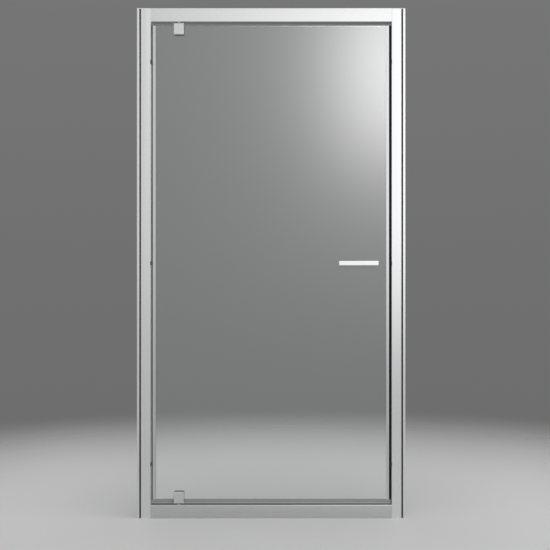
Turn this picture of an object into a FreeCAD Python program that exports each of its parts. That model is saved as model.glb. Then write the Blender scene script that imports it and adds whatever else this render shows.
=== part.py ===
"""A framed pivot shower door: an aluminium frame between two walls and one glass leaf.

X runs left to right seen from outside, Y from outside to inside, Z up. The origin is the middle
of the sill's underside. All sizes are in millimetres.
"""
import FreeCAD
import Part
import os
import re
import Sketcher
from FreeCAD import Placement, Rotation, Vector

# Driving sizes, one cell each
SIZES = {
    # Frame
    "frame_width": 1000.0,
    "frame_height": 1900.0,
    "frame_depth": 36.0,
    "wall_lip": 9.0,
    "shadow_gap": 5.0,
    "shadow_depth": 10.0,
    "jamb_face": 37.0,
    "head_face": 50.0,
    "sill_face": 50.0,
    "profile_wall": 1.8,
    "wall_web": 2.0,
    "reveal_wall": 3.0,
    "seat_wall": 3.0,
    "rail_chamber": 26.0,
    "rail_web": 1.6,
    "edge_round": 1.0,
    "jamb_round": 3.0,
    "sill_edge_round": 2.5,
    "sill_slope_run": 8.0,
    "sill_slope_drop": 3.5,
    # Wall profile tongue and the jamb ribs that guide it
    "tongue_depth": 26.0,
    "tongue_reach": 33.0,
    "tongue_play": 0.3,
    "guide_rib_inset": 18.0,
    # Rubber seal on the floor of the shadow groove
    "wall_seal": 3.0,
    "wall_seal_fit": 0.1,
    "wall_seal_bevel": 1.0,
    # Holes for the wall screws
    "wall_hole": 6.0,
    "wall_hole_end": 100.0,
    "wall_hole_pitch": 600.0,
    # Caps on the jambs
    "cap_plate": 2.0,
    "cap_plug_start": 22.0,
    "cap_plug_length": 16.0,
    "cap_plug_depth": 10.0,
    "cap_fit": 0.1,
    # Corner screws and their ports in the rails
    "port_block": 8.0,
    "port_bore": 4.0,
    "corner_screw": 3.9,
    "corner_screw_length": 22.0,
    "corner_head": 7.0,
    "corner_head_height": 2.4,
    "corner_hole": 4.4,
    # Width adjusters: block, screw and snap cover
    "adjuster_inset": 200.0,
    "adjuster_block_length": 14.0,
    "adjuster_block_height": 24.0,
    "adjuster_setback": 1.0,
    "adjuster_screw": 4.0,
    "adjuster_screw_length": 21.0,
    "adjuster_bore": 4.1,
    "adjuster_hole": 4.6,
    "adjuster_head": 7.0,
    "adjuster_head_height": 2.2,
    "cover_height": 14.6,
    "cover_recess": 1.5,
    "cover_rise": 1.5,
    "cover_land": 0.2,
    "cover_wall": 0.8,
    "cover_fit": 0.1,
    "cover_head_room": 0.2,
    "cover_bevel": 0.8,
    # Magnet slot in the strike jamb, its holder and its magnet
    "slot_mouth": 5.4,
    "slot_width": 7.2,
    "slot_lip": 1.2,
    "slot_depth": 4.0,
    "slot_wall": 1.4,
    "holder_fit": 0.1,
    "holder_head": 6.2,
    "holder_rise": 1.2,
    "jamb_magnet_width": 3.6,
    "jamb_magnet_floor": 0.9,
    "jamb_magnet_recess": 0.3,
    # Glass leaf
    "glass_thickness": 6.0,
    "glass_arris": 0.6,
    "glass_hole": 10.0,
    "hinge_edge_gap": 10.5,
    "strike_edge_gap": 13.0,
    # Edge clips, soft lip and door magnet
    "clip_leg": 6.2,
    "clip_skin": 1.2,
    "clip_base": 1.4,
    "clip_slot": 1.4,
    "clip_slot_width": 6.4,
    "clip_mouth": 4.4,
    "clip_mouth_wall": 1.0,
    "strip_fit": 0.1,
    "lip_clearance": 0.6,
    "lip_root": 5.2,
    "lip_waist": 4.2,
    "lip_tip": 1.6,
    "lip_bore": 1.6,
    "lip_bore_inset": 1.9,
    "magnet_clearance": 0.3,
    "magnet_depth": 8.0,
    # Bottom drip seal
    "drip_leg": 6.0,
    "drip_skin": 1.2,
    "drip_base": 1.4,
    "drip_fin": 1.1,
    "drip_root": 1.6,
    "drip_spread_out": 5.0,
    "drip_spread_in": 6.5,
    "drip_clearance": 1.0,
    "drip_block_gap": 0.4,
    "drip_jamb_gap": 1.0,
    # Pivots
    "pivot_inset": 104.0,
    "rail_gap": 4.25,
    "block_width": 38.0,
    "block_height": 43.0,
    "block_depth": 13.0,
    "block_overhang": 7.5,
    "block_bevel": 2.0,
    "gasket": 1.0,
    "gasket_inset": 0.8,
    "pin_diameter": 8.0,
    "pin_relief": 0.3,
    "pin_engage": 12.0,
    "pin_chamfer": 0.8,
    "pin_base_length": 26.0,
    "pin_base_depth": 12.0,
    "pin_base_height": 5.0,
    "pin_base_fit": 0.1,
    "base_lip": 2.0,
    "clamp_spacing": 20.0,
    "clamp_row": 26.0,
    "clamp_screw": 5.0,
    "clamp_hole": 5.4,
    "clamp_bore": 5.1,
    "clamp_thread": 9.0,
    "clamp_head": 8.5,
    "clamp_head_height": 5.0,
    "clamp_counterbore": 9.0,
    "clamp_head_sink": 0.3,
    "clamp_key": 4.0,
    "clamp_key_depth": 2.6,
    "sleeve_outer": 9.7,
    "bush_outer": 14.0,
    "bush_bore_play": 0.05,
    "bush_flange": 20.0,
    "bush_flange_height": 2.2,
    "bush_length": 17.0,
    "washer_outer": 18.0,
    "washer_bore_play": 0.2,
    "washer_play": 0.1,
    "housing_length": 42.0,
    "housing_fit": 0.2,
    "housing_height": 20.0,
    "housing_screw": 4.0,
    "housing_bore": 4.1,
    "housing_hole": 4.4,
    "housing_screw_spacing": 28.0,
    "housing_screw_length": 14.0,
    "housing_head": 6.6,
    "housing_head_height": 2.0,
    # Handle
    "handle_inset": 123.5,
    "handle_level": 950.0,
    "handle_length": 147.0,
    "handle_height": 17.0,
    "handle_thickness": 9.0,
    "handle_round": 2.0,
    "handle_standoff": 28.0,
    "handle_gasket": 1.0,
    "handle_gasket_outer": 15.0,
    "post_spacing": 104.0,
    "post_diameter": 12.0,
    "spigot_diameter": 8.0,
    "spigot_length": 5.6,
    "socket_depth": 5.8,
    "socket_fit": 0.1,
    "stud_diameter": 6.0,
    "stud_reach": 11.0,
    "stud_bore": 6.1,
    "stud_bore_depth": 12.0,
}

# Places and lengths that follow from the driving sizes
PLACES = {
    "half_width": "frame_width / 2",
    "half_depth": "frame_depth / 2",
    "half_tongue": "tongue_depth / 2",
    "half_glass": "glass_thickness / 2",
    "side_face": "wall_lip + shadow_gap + jamb_face",
    "jamb_start": "wall_lip + shadow_gap",
    "reveal": "half_width - side_face",
    "tongue_end": "wall_lip + tongue_reach",
    "guide": "half_tongue + tongue_play",
    "groove_floor": "half_depth - shadow_depth",
    "post_height": "frame_height - cap_plate",
    "head_under": "frame_height - head_face",
    "port_line": "half_depth - profile_wall - port_block / 2",
    "mid_height": "frame_height / 2",
    "cover_edge": "slot_width / 2 + cover_land",
    "adjuster_line": "cover_edge + cover_fit + cover_wall + cover_head_room + adjuster_head / 2",
    "housing_half": "half_depth - profile_wall - sill_slope_run - housing_fit",
    "pivot_x": "pivot_inset - reveal",
    "glass_left": "hinge_edge_gap - reveal",
    "glass_right": "reveal - strike_edge_gap",
    "magnet_face": "reveal - max(holder_rise; cover_rise) - magnet_clearance",
    "block_top": "head_under - rail_gap",
    "block_bottom": "sill_face + rail_gap",
    "glass_top": "block_top - block_overhang",
    "glass_bottom": "block_bottom + block_overhang",
    "block_inner": "half_glass + gasket",
    "block_outer": "block_inner + block_depth",
    "clip_span": "clip_base + clip_slot + clip_mouth_wall",
    "clip_half": "half_glass + clip_skin",
    "clip_foot": "glass_bottom + drip_leg",
    "drip_tip": "sill_face + drip_clearance",
    "handle_x": "reveal - handle_inset",
    "handle_back": "half_glass + handle_standoff",
    "post_foot": "half_glass + handle_gasket",
    "clamp_bearing": "block_outer - clamp_head_height - clamp_head_sink",
}

WORD = re.compile(r"[a-z_]+[a-z]")
LEFT, RIGHT = "1", "-1"
OUTER, INNER = -1, 1
# Flat sides of hidden bores and shanks, of hexagon heads and of small turned pieces
BORE_SIDES = 8
HEAD_SIDES = 6
TURNED_SIDES = 16
# A cut through a wall is this many times as long as the wall is thick
CLEAR_CUT = 3
TURN_OVER = Rotation(Vector(0, 1, 0), 180)
LEVEL = Rotation()

doc = FreeCAD.newDocument("ShowerDoor")
sheet = doc.addObject("Spreadsheet::Sheet", "Sizes")
for row, (alias, size) in enumerate(SIZES.items(), start=1):
    sheet.set(f"A{row}", alias.replace("_", " "))
    sheet.set(f"B{row}", str(size))
    sheet.setAlias(f"B{row}", alias)
doc.recompute()

pieces = []


def rule(text):
    """The expression for a formula, with every place spelled out and every size read from its cell."""
    def spell(match):
        word = match.group(0)
        if word in PLACES:
            return f"({rule(PLACES[word])})"
        if word in SIZES:
            return f"Sizes.{word}"
        return word
    return WORD.sub(spell, text)


def value(text):
    """The number that a formula gives."""
    return float(sheet.evalExpression(rule(text)))


def bind(item, **formulas):
    """Bind properties of an object to formulas; a double underscore stands for a dot."""
    for name, text in formulas.items():
        item.setExpression(name.replace("__", "."), rule(text))


def place(item, x="0", y="0", z="0", turn=LEVEL):
    """Put an object at a place given by formulas."""
    item.Placement = Placement(Vector(), turn)
    bind(item, Placement__Base__x=x, Placement__Base__y=y, Placement__Base__z=z)


def piece(item, label):
    """Name an object as one of the door's pieces."""
    item.Label = label
    pieces.append(item)
    return item


def new_body(label):
    """An empty body."""
    body = doc.addObject("PartDesign::Body", "Body")
    body.Label = label
    return body


def sketch_on(body, role, offset="0"):
    """An empty sketch on one of the body's own origin planes, moved along its normal."""
    plane = next(item for item in body.Origin.OriginFeatures if item.Role == role)
    sketch = body.newObject("Sketcher::SketchObject", "Sketch")
    sketch.AttachmentSupport = [(plane, "")]
    sketch.MapMode = "FlatFace"
    bind(sketch, AttachmentOffset__Base__z=offset)
    return sketch


def pin_point(sketch, geometry, point, x, y):
    """Hold one point of a sketch at the distances that two formulas give."""
    for kind, text in (("DistanceX", x), ("DistanceY", y)):
        constraint = Sketcher.Constraint(kind, -1, 1, geometry, point, value(text))
        index = sketch.addConstraint(constraint)
        sketch.setExpression(f"Constraints[{index}]", rule(text))


def draw_loop(sketch, corners):
    """Draw a closed loop of straight lines whose corners are pairs of formulas."""
    first = sketch.GeometryCount
    spots = [Vector(value(x), value(y), 0) for x, y in corners]
    count = len(spots)
    for index, spot in enumerate(spots):
        sketch.addGeometry(Part.LineSegment(spot, spots[(index + 1) % count]), False)
    for index in range(count):
        following = first + (index + 1) % count
        sketch.addConstraint(Sketcher.Constraint("Coincident", first + index, 2, following, 1))
    for index, (x, y) in enumerate(corners):
        pin_point(sketch, first + index, 1, x, y)


def draw_circle(sketch, x, y, diameter):
    """Draw a circle whose centre and diameter are formulas."""
    radius = value(f"({diameter}) / 2")
    index = sketch.addGeometry(Part.Circle(Vector(value(x), value(y), 0), Vector(0, 0, 1), radius), False)
    bound = sketch.addConstraint(Sketcher.Constraint("Radius", index, radius))
    sketch.setExpression(f"Constraints[{bound}]", rule(f"({diameter}) / 2"))
    pin_point(sketch, index, 3, x, y)


def facets(x, y, diameter, sides, clear=False):
    """A round with few flat sides, inside its diameter, or clear of it for a bore."""
    step = 360 / sides
    reach = f"({diameter}) / 2 / cos({step / 2})" if clear else f"({diameter}) / 2"
    return [
        (f"{x} + ({reach}) * cos({step * turn})", f"{y} + ({reach}) * sin({step * turn})")
        for turn in range(sides)
    ]


def draw_bore(sketch, x, y, diameter, sides=BORE_SIDES):
    """Draw a hidden bore with few flat sides."""
    draw_loop(sketch, facets(x, y, diameter, sides, clear=True))


def rectangle(x_low, x_high, y_low, y_high):
    """The four corners of an upright rectangle."""
    return [(x_low, y_low), (x_high, y_low), (x_high, y_high), (x_low, y_high)]


def pad(body, sketch, length, symmetric=False, backwards=False):
    """Raise a sketch into a solid."""
    feature = body.newObject("PartDesign::Pad", "Pad")
    feature.Profile = sketch
    feature.Reversed = backwards
    if symmetric:
        feature.SideType = "Symmetric"
    bind(feature, Length=length)
    doc.recompute()
    return feature


def pocket(body, sketch, depth, through=False, backwards=False):
    """Cut a sketch into the body, or through a wall whose thickness is the depth, and check that it cut."""
    before = body.Shape.Volume
    feature = body.newObject("PartDesign::Pocket", "Pocket")
    feature.Profile = sketch
    feature.Reversed = backwards
    if through:
        feature.SideType = "Symmetric"
    bind(feature, Length=f"{CLEAR_CUT} * ({depth})" if through else depth)
    doc.recompute()
    if not body.Shape.Volume < before:
        raise RuntimeError(f"{body.Label}: a pocket cuts nothing")
    return feature


def edges_at(body, spots):
    """The names of the body's edges that pass through the given points."""
    vertices = [Part.Vertex(Vector(*(value(part) for part in spot))) for spot in spots]
    tolerance = 1e-4
    return [
        f"Edge{index}"
        for index, edge in enumerate(body.Tip.Shape.Edges, start=1)
        if any(edge.distToShape(vertex)[0] < tolerance for vertex in vertices)
    ]


def soften(body, kind, spots, **formulas):
    """Fillet or chamfer the edges that pass through the given points."""
    base = body.Tip
    names = edges_at(body, spots)
    feature = body.newObject(f"PartDesign::{kind}", kind)
    feature.Base = (base, names)
    bind(feature, **formulas)
    doc.recompute()
    return feature


def revolved(label, corners):
    """A body turned about Z from a half outline of (radius, height) formulas."""
    body = new_body(label)
    sketch = sketch_on(body, "XZ_Plane")
    draw_loop(sketch, corners)
    feature = body.newObject("PartDesign::Revolution", "Revolution")
    feature.Profile = sketch
    feature.ReferenceAxis = (sketch, ["V_Axis"])
    feature.Angle = 360
    doc.recompute()
    return body


def screw(label, shank, length, head, head_height, sides=HEAD_SIDES):
    """A screw on Z with its bearing face at zero and its shank below; its head is a hexagon unless told."""
    body = new_body(f"{label}_one")
    stem = sketch_on(body, "XY_Plane")
    draw_loop(stem, facets("0", "0", shank, BORE_SIDES))
    pad(body, stem, length, backwards=True)
    top = sketch_on(body, "XY_Plane")
    draw_loop(top, facets("0", "0", head, sides))
    pad(body, top, head_height)
    return body


def socket_screw(label, shank, length, head, head_height):
    """A cap screw on Z: a round head with a hexagon socket."""
    body = screw(label, shank, length, head, head_height, TURNED_SIDES)
    key = sketch_on(body, "XY_Plane", head_height)
    draw_loop(key, facets("0", "0", "clamp_key", HEAD_SIDES, clear=True))
    pocket(body, key, "clamp_key_depth")
    return body


def tube(label, outer, bore, length, sides=BORE_SIDES):
    """A short sleeve or washer on Z."""
    body = new_body(label)
    ring = sketch_on(body, "XY_Plane")
    draw_loop(ring, facets("0", "0", outer, sides))
    draw_bore(ring, "0", "0", bore, sides)
    pad(body, ring, length)
    return body


def copies(label, master, spots, turn=LEVEL):
    """One piece made of copies of a master solid, each at a place of three formulas."""
    links = []
    for spot in spots:
        link = doc.addObject("App::Link", "Copy")
        link.LinkedObject = master
        place(link, *spot, turn=turn)
        links.append(link)
    group = doc.addObject("Part::Compound", "Group")
    group.Links = links
    return piece(group, label)


def profile(label, corners, length, bores=()):
    """An upright extrusion of one outline."""
    body = new_body(label)
    sketch = sketch_on(body, "XY_Plane")
    draw_loop(sketch, corners)
    for bore in bores:
        draw_bore(sketch, *bore)
    pad(body, sketch, length)
    return body


def sided(side, corners):
    """Corners measured from the wall towards the opening, turned for the left or right side."""
    return [(f"{side} * ({x})", y) for x, y in corners]


def wall_at(side):
    """The plane of the wall on one side."""
    return f"-{side} * half_width"


def wall_profile(side, label):
    """The channel screwed to the wall: a lip that shows, a shadow groove and a tongue in the jamb."""
    half = [
        ("0", "-half_depth"),
        ("wall_lip", "-half_depth"),
        ("wall_lip", "-groove_floor"),
        ("jamb_start", "-groove_floor"),
        ("jamb_start", "-half_tongue"),
        ("tongue_end", "-half_tongue"),
        ("tongue_end", "profile_wall - half_tongue"),
        ("jamb_start + profile_wall", "profile_wall - half_tongue"),
        ("jamb_start + profile_wall", "profile_wall - groove_floor"),
        ("wall_lip - profile_wall", "profile_wall - groove_floor"),
        ("wall_lip - profile_wall", "profile_wall - half_depth"),
        ("wall_web", "profile_wall - half_depth"),
    ]
    mirrored = [(x, f"-({y})") for x, y in reversed(half)]
    body = profile(label, sided(side, half + mirrored), "post_height")
    lips = [(f"{side} * wall_lip", f"{way} * half_depth", "mid_height") for way in (-1, 1)]
    soften(body, "Fillet", lips, Radius="edge_round")
    holes = sketch_on(body, "YZ_Plane")
    for level in wall_hole_levels():
        draw_circle(holes, "0", level, "wall_hole")
    pocket(body, holes, "wall_web", through=True)
    place(body, x=wall_at(side))
    return piece(body, label)


def wall_seal(side, label):
    """The rubber strips that lie in the shadow groove, one outside and one inside."""
    master = new_body(f"{label}_one")
    section = sketch_on(master, "XY_Plane")
    across, deep = "(shadow_gap / 2 - wall_seal_fit)", "wall_seal / 2"
    draw_loop(section, rectangle(f"-{across}", across, f"-{deep}", deep))
    pad(master, section, "post_height")
    corners = [(f"{x} * {across}", f"{y} * {deep}", "mid_height") for x in (-1, 1) for y in (-1, 1)]
    soften(master, "Chamfer", corners, Size="wall_seal_bevel")
    middle = f"-{side} * (half_width - wall_lip - shadow_gap / 2)"
    return copies(label, master, [(middle, f"{way} * (groove_floor + {deep})", "0") for way in (-1, 1)])


def wall_hole_levels():
    """Heights of the holes for the wall screws."""
    return [
        "wall_hole_end",
        "mid_height - wall_hole_pitch / 2",
        "mid_height + wall_hole_pitch / 2",
        "frame_height - wall_hole_end",
    ]


def adjuster_levels():
    """Heights of the width adjusters."""
    return ["adjuster_inset", "mid_height", "frame_height - adjuster_inset"]


def corner_ports():
    """Places (y, z) of the screws that join the rails to a jamb."""
    return [
        ("port_line", "profile_wall + port_block / 2"),
        ("-port_line", "sill_face - seat_wall - port_block / 2"),
        ("port_line", "head_under + seat_wall + port_block / 2"),
        ("-port_line", "frame_height - profile_wall - port_block / 2"),
    ]


def jamb_half():
    """The jamb's outline from its open side, along the inside of its front wall, to the reveal wall."""
    rib = "jamb_start + guide_rib_inset"
    return [
        ("jamb_start", "-half_depth"),
        ("jamb_start", "-guide"),
        ("jamb_start + profile_wall", "-guide"),
        ("jamb_start + profile_wall", "profile_wall - half_depth"),
        (rib, "profile_wall - half_depth"),
        (rib, "-guide"),
        (f"{rib} + profile_wall", "-guide"),
        (f"{rib} + profile_wall", "profile_wall - half_depth"),
        ("side_face - reveal_wall", "profile_wall - half_depth"),
    ]


def magnet_slot():
    """The undercut slot in the strike jamb's reveal, and the wall behind it, as two half outlines."""
    behind = [
        ("side_face - reveal_wall", "-slot_width / 2 - slot_wall"),
        ("side_face - slot_depth - slot_wall", "-slot_width / 2 - slot_wall"),
    ]
    front = [
        ("side_face", "-slot_mouth / 2"),
        ("side_face - slot_lip", "-slot_mouth / 2"),
        ("side_face - slot_lip", "-slot_width / 2"),
        ("side_face - slot_depth", "-slot_width / 2"),
    ]
    return behind, front


def jamb(side, label):
    """The upright that slides over the wall profile's tongue."""
    behind, front = magnet_slot() if side == RIGHT else ([], [])
    inside = jamb_half() + behind
    outside = [("side_face", "-half_depth")] + front
    corners = inside + [(x, f"-({y})") for x, y in reversed(inside)]
    corners += [(x, f"-({y})") for x, y in outside]
    corners += list(reversed(outside))
    body = profile(label, sided(side, corners), "post_height")
    face = f"{side} * side_face"
    for x, radius in ((f"{side} * jamb_start", "jamb_round"), (face, "edge_round")):
        arrises = [(x, f"{way} * half_depth", "mid_height") for way in (-1, 1)]
        soften(body, "Fillet", arrises, Radius=radius)
    holes = sketch_on(body, "YZ_Plane", face)
    for level in adjuster_levels():
        draw_bore(holes, "-adjuster_line", level, "adjuster_hole")
    for y, z in corner_ports():
        draw_bore(holes, y, z, "corner_hole")
    pocket(body, holes, "reveal_wall", through=True)
    recess = sketch_on(body, "YZ_Plane", face)
    for level in adjuster_levels():
        draw_loop(recess, rectangle(
            "-half_depth - cover_rise", "-cover_edge",
            f"{level} - cover_height / 2 - cover_fit", f"{level} + cover_height / 2 + cover_fit",
        ))
    pocket(body, recess, "cover_recess", backwards=side == RIGHT)
    place(body, x=wall_at(side))
    return piece(body, label)


def jamb_cap(side, label):
    """The plate that closes a jamb and its wall profile at the top, with a plug in the tongue."""
    body = new_body(label)
    plate = sketch_on(body, "XY_Plane")
    draw_loop(plate, sided(side, rectangle("0", "side_face", "-half_depth", "half_depth")))
    pad(body, plate, "cap_plate")
    plug = sketch_on(body, "XY_Plane")
    reach = "half_tongue - profile_wall - cap_fit"
    draw_loop(plug, sided(side, rectangle(
        "cap_plug_start", "cap_plug_start + cap_plug_length", f"-({reach})", reach)))
    pad(body, plug, "cap_plug_depth", backwards=True)
    place(body, x=wall_at(side), z="post_height")
    return piece(body, label)


def head_rail():
    """The hollow rail over the leaf; its lower chamber holds the pivot housing."""
    label = "head_rail"
    body = new_body(label)
    section = sketch_on(body, "YZ_Plane")
    inner = "half_depth - profile_wall"
    shelf = "rail_chamber + rail_web"
    roof = "head_face - profile_wall"
    draw_loop(section, rectangle("-half_depth", "half_depth", "0", "head_face"))
    draw_loop(section, [
        (f"-({inner})", "seat_wall"),
        (f"{inner} - port_block", "seat_wall"),
        (f"{inner} - port_block", "seat_wall + port_block"),
        (inner, "seat_wall + port_block"),
        (inner, "rail_chamber"),
        (f"-({inner})", "rail_chamber"),
    ])
    draw_loop(section, [
        (f"-({inner})", shelf),
        (inner, shelf),
        (inner, roof),
        (f"port_block - ({inner})", roof),
        (f"port_block - ({inner})", f"{roof} - port_block"),
        (f"-({inner})", f"{roof} - port_block"),
    ])
    draw_bore(section, "port_line", "seat_wall + port_block / 2", "port_bore")
    draw_bore(section, "-port_line", f"{roof} - port_block / 2", "port_bore")
    pad(body, section, "2 * reveal", symmetric=True)
    fronts = [("0", f"{way} * half_depth", z) for way in (-1, 1) for z in ("0", "head_face")]
    soften(body, "Fillet", fronts, Radius="edge_round")
    pivot_holes(body, "0")
    place(body, z="head_under")
    return piece(body, label)


def sill_rail():
    """The hollow threshold under the leaf; its top falls towards the shower at the inner edge."""
    label = "sill_rail"
    body = new_body(label)
    section = sketch_on(body, "YZ_Plane")
    inner = "half_depth - profile_wall"
    floor = "sill_face - rail_chamber"
    under = "sill_face - seat_wall"
    draw_loop(section, [
        ("-half_depth", "0"),
        ("half_depth", "0"),
        ("half_depth", "sill_face - sill_slope_drop"),
        ("half_depth - sill_slope_run", "sill_face"),
        ("-half_depth", "sill_face"),
    ])
    draw_loop(section, [
        (f"-({inner})", floor),
        (inner, floor),
        (inner, f"{under} - sill_slope_drop"),
        (f"{inner} - sill_slope_run", under),
        (f"port_block - ({inner})", under),
        (f"port_block - ({inner})", f"{under} - port_block"),
        (f"-({inner})", f"{under} - port_block"),
    ])
    draw_loop(section, [
        (f"-({inner})", "profile_wall"),
        (f"{inner} - port_block", "profile_wall"),
        (f"{inner} - port_block", "profile_wall + port_block"),
        (inner, "profile_wall + port_block"),
        (inner, f"{floor} - rail_web"),
        (f"-({inner})", f"{floor} - rail_web"),
    ])
    draw_bore(section, "-port_line", f"{under} - port_block / 2", "port_bore")
    draw_bore(section, "port_line", "profile_wall + port_block / 2", "port_bore")
    pad(body, section, "2 * reveal", symmetric=True)
    soften(body, "Fillet", [("0", "-half_depth", "sill_face")], Radius="sill_edge_round")
    pivot_holes(body, "sill_face")
    return piece(body, label)


def pivot_holes(body, level):
    """Cut the bush hole and the housing screw holes through a rail's wall that faces the leaf."""
    holes = sketch_on(body, "XY_Plane", level)
    draw_circle(holes, "pivot_x", "0", "bush_outer")
    for x in housing_screw_places():
        draw_bore(holes, x, "0", "housing_hole")
    pocket(body, holes, "seat_wall", through=True)


def housing_screw_places():
    """The x of the two screws that hold a pivot housing."""
    return [f"pivot_x {sign} housing_screw_spacing / 2" for sign in "-+"]


def pivot_seat(end):
    """The housing in a rail, its bush and its screws; the rail's face is the zero plane."""
    level, turn = ("head_under", LEVEL) if end == "head" else ("sill_face", TURN_OVER)
    housing = new_body(f"{end}_pivot_housing")
    block = sketch_on(housing, "XY_Plane", "seat_wall")
    draw_loop(block, rectangle("-housing_length / 2", "housing_length / 2",
                               "-housing_half", "housing_half"))
    draw_circle(block, "0", "0", "bush_outer")
    for sign in (-1, 1):
        draw_bore(block, f"{sign} * housing_screw_spacing / 2", "0", "housing_bore")
    pad(housing, block, "housing_height")
    place(housing, x="pivot_x", z=level, turn=turn)
    piece(housing, f"{end}_pivot_housing")
    bush = revolved(f"{end}_pivot_bush", [
        ("pin_diameter / 2 + bush_bore_play", "-bush_flange_height"),
        ("bush_flange / 2", "-bush_flange_height"),
        ("bush_flange / 2", "0"),
        ("bush_outer / 2", "0"),
        ("bush_outer / 2", "bush_length"),
        ("pin_diameter / 2 + bush_bore_play", "bush_length"),
    ])
    place(bush, x="pivot_x", z=level, turn=turn)
    piece(bush, f"{end}_pivot_bush")
    master = screw(f"{end}_housing_screws", "housing_screw", "housing_screw_length",
                   "housing_head", "housing_head_height")
    over = TURN_OVER if end == "head" else LEVEL
    copies(f"{end}_housing_screws", master, [(x, "0", level) for x in housing_screw_places()], over)


def pivot_washer(label, level):
    """The slip washer between a pivot block and its bush."""
    bore = "pin_diameter + 2 * washer_bore_play"
    thickness = "rail_gap - bush_flange_height - washer_play"
    body = tube(label, "washer_outer", bore, thickness, TURNED_SIDES)
    place(body, x="pivot_x", z=level)
    return piece(body, label)


def corner_screws(side, label, turn):
    """The screws driven from inside a jamb into the ends of both rails."""
    master = screw(label, "corner_screw", "corner_screw_length", "corner_head", "corner_head_height")
    seat = f"-{side} * (reveal + reveal_wall)"
    return copies(label, master, [(seat, y, z) for y, z in corner_ports()], turn)


def adjusters(side, where, turn):
    """The blocks held in the tongue, the screws from the reveal and the snap covers over them."""
    block = new_body(f"adjuster_block_{where}")
    outline = sketch_on(block, "XY_Plane")
    width = "half_tongue - profile_wall"
    draw_loop(outline, sided(side, rectangle(
        "tongue_end - adjuster_setback - adjuster_block_length", "tongue_end - adjuster_setback",
        f"-({width})", width)))
    pad(block, outline, "adjuster_block_height", symmetric=True)
    bore = sketch_on(block, "YZ_Plane", f"{side} * (tongue_end - adjuster_setback)")
    draw_bore(bore, "-adjuster_line", "0", "adjuster_bore")
    pocket(block, bore, "adjuster_block_length", through=True)
    wall = wall_at(side)
    copies(f"adjuster_blocks_{where}", block, [(wall, "0", level) for level in adjuster_levels()])
    master = screw(f"adjuster_screws_{where}", "adjuster_screw", "adjuster_screw_length",
                   "adjuster_head", "adjuster_head_height")
    seat = f"-{side} * (reveal + cover_recess)"
    spots = [(seat, "-adjuster_line", level) for level in adjuster_levels()]
    copies(f"adjuster_screws_{where}", master, spots, turn)
    cover = screw_cover(side, where)
    copies(f"screw_covers_{where}", cover, [(wall, "0", level) for level in adjuster_levels()])


def screw_cover(side, where):
    """One snap cover: flush with the jamb's front face, proud of its reveal, hollow over the screw."""
    cover = new_body(f"screw_cover_{where}")
    floor = f"{side} * (side_face - cover_recess)"
    plate = sketch_on(cover, "YZ_Plane", floor)
    draw_loop(plate, rectangle("-half_depth", "-cover_edge - cover_fit",
                               "-cover_height / 2", "cover_height / 2"))
    away = side == RIGHT
    pad(cover, plate, "cover_recess + cover_rise", backwards=away)
    crown = f"{side} * (side_face + cover_rise)"
    middle = "-(half_depth + cover_edge + cover_fit) / 2"
    edges = [
        (crown, "-half_depth", "0"),
        (crown, "-cover_edge - cover_fit", "0"),
        (crown, middle, "cover_height / 2"),
        (crown, middle, "-cover_height / 2"),
    ]
    soften(cover, "Chamfer", edges, Size="cover_bevel")
    hollow = sketch_on(cover, "YZ_Plane", floor)
    half_hollow = "(cover_height / 2 - cover_wall)"
    draw_loop(hollow, rectangle("cover_wall - half_depth", "-cover_edge - cover_fit - cover_wall",
                                f"-{half_hollow}", half_hollow))
    pocket(cover, hollow, "adjuster_head_height + cover_head_room", backwards=not away)
    return cover


def jamb_magnet():
    """The strike jamb's plastic holder, held by the undercut slot, and the magnet in it."""
    half_mouth = "slot_mouth / 2 - holder_fit"
    half_slot = "slot_width / 2 - holder_fit"
    half_magnet = "jamb_magnet_width / 2"
    back = "side_face - slot_depth + holder_fit"
    neck = "side_face - slot_lip - holder_fit"
    bed = f"{back} + jamb_magnet_floor"
    rise = "side_face + holder_rise"
    half = [
        (back, f"-({half_slot})"),
        (neck, f"-({half_slot})"),
        (neck, f"-({half_mouth})"),
        ("side_face", f"-({half_mouth})"),
        ("side_face", "-holder_head / 2"),
        (rise, "-holder_head / 2"),
        (rise, f"-{half_magnet}"),
        (bed, f"-{half_magnet}"),
    ]
    corners = half + [(x, f"-({y})") for x, y in reversed(half)]
    holder = profile("jamb_magnet_holder", sided(RIGHT, corners), "head_under - sill_face")
    place(holder, x=wall_at(RIGHT), z="sill_face")
    piece(holder, "jamb_magnet_holder")
    strip = rectangle(bed, f"{rise} - jamb_magnet_recess", f"-{half_magnet}", half_magnet)
    magnet = profile("jamb_magnet", sided(RIGHT, strip), "head_under - sill_face")
    place(magnet, x=wall_at(RIGHT), z="sill_face")
    piece(magnet, "jamb_magnet")


def door_glass():
    """The toughened pane with ground edges and drilled for the pivots and the handle."""
    body = new_body("door_glass")
    outline = sketch_on(body, "XZ_Plane")
    draw_loop(outline, rectangle("glass_left", "glass_right", "glass_bottom", "glass_top"))
    pad(body, outline, "glass_thickness", symmetric=True)
    middle_x = "(glass_left + glass_right) / 2"
    middle_z = "(glass_bottom + glass_top) / 2"
    arrises = []
    for face in ("half_glass", "-half_glass"):
        arrises += [(x, face, middle_z) for x in ("glass_left", "glass_right")]
        arrises += [(middle_x, face, z) for z in ("glass_bottom", "glass_top")]
    soften(body, "Chamfer", arrises, Size="glass_arris")
    holes = sketch_on(body, "XZ_Plane")
    for level in ("block_top - clamp_row", "block_bottom + clamp_row"):
        for sign in "-+":
            draw_bore(holes, f"pivot_x {sign} clamp_spacing / 2", level, "glass_hole")
    for x in handle_post_places():
        draw_bore(holes, x, "handle_level", "glass_hole")
    pocket(body, holes, "glass_thickness", through=True)
    return piece(body, "door_glass")


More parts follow.
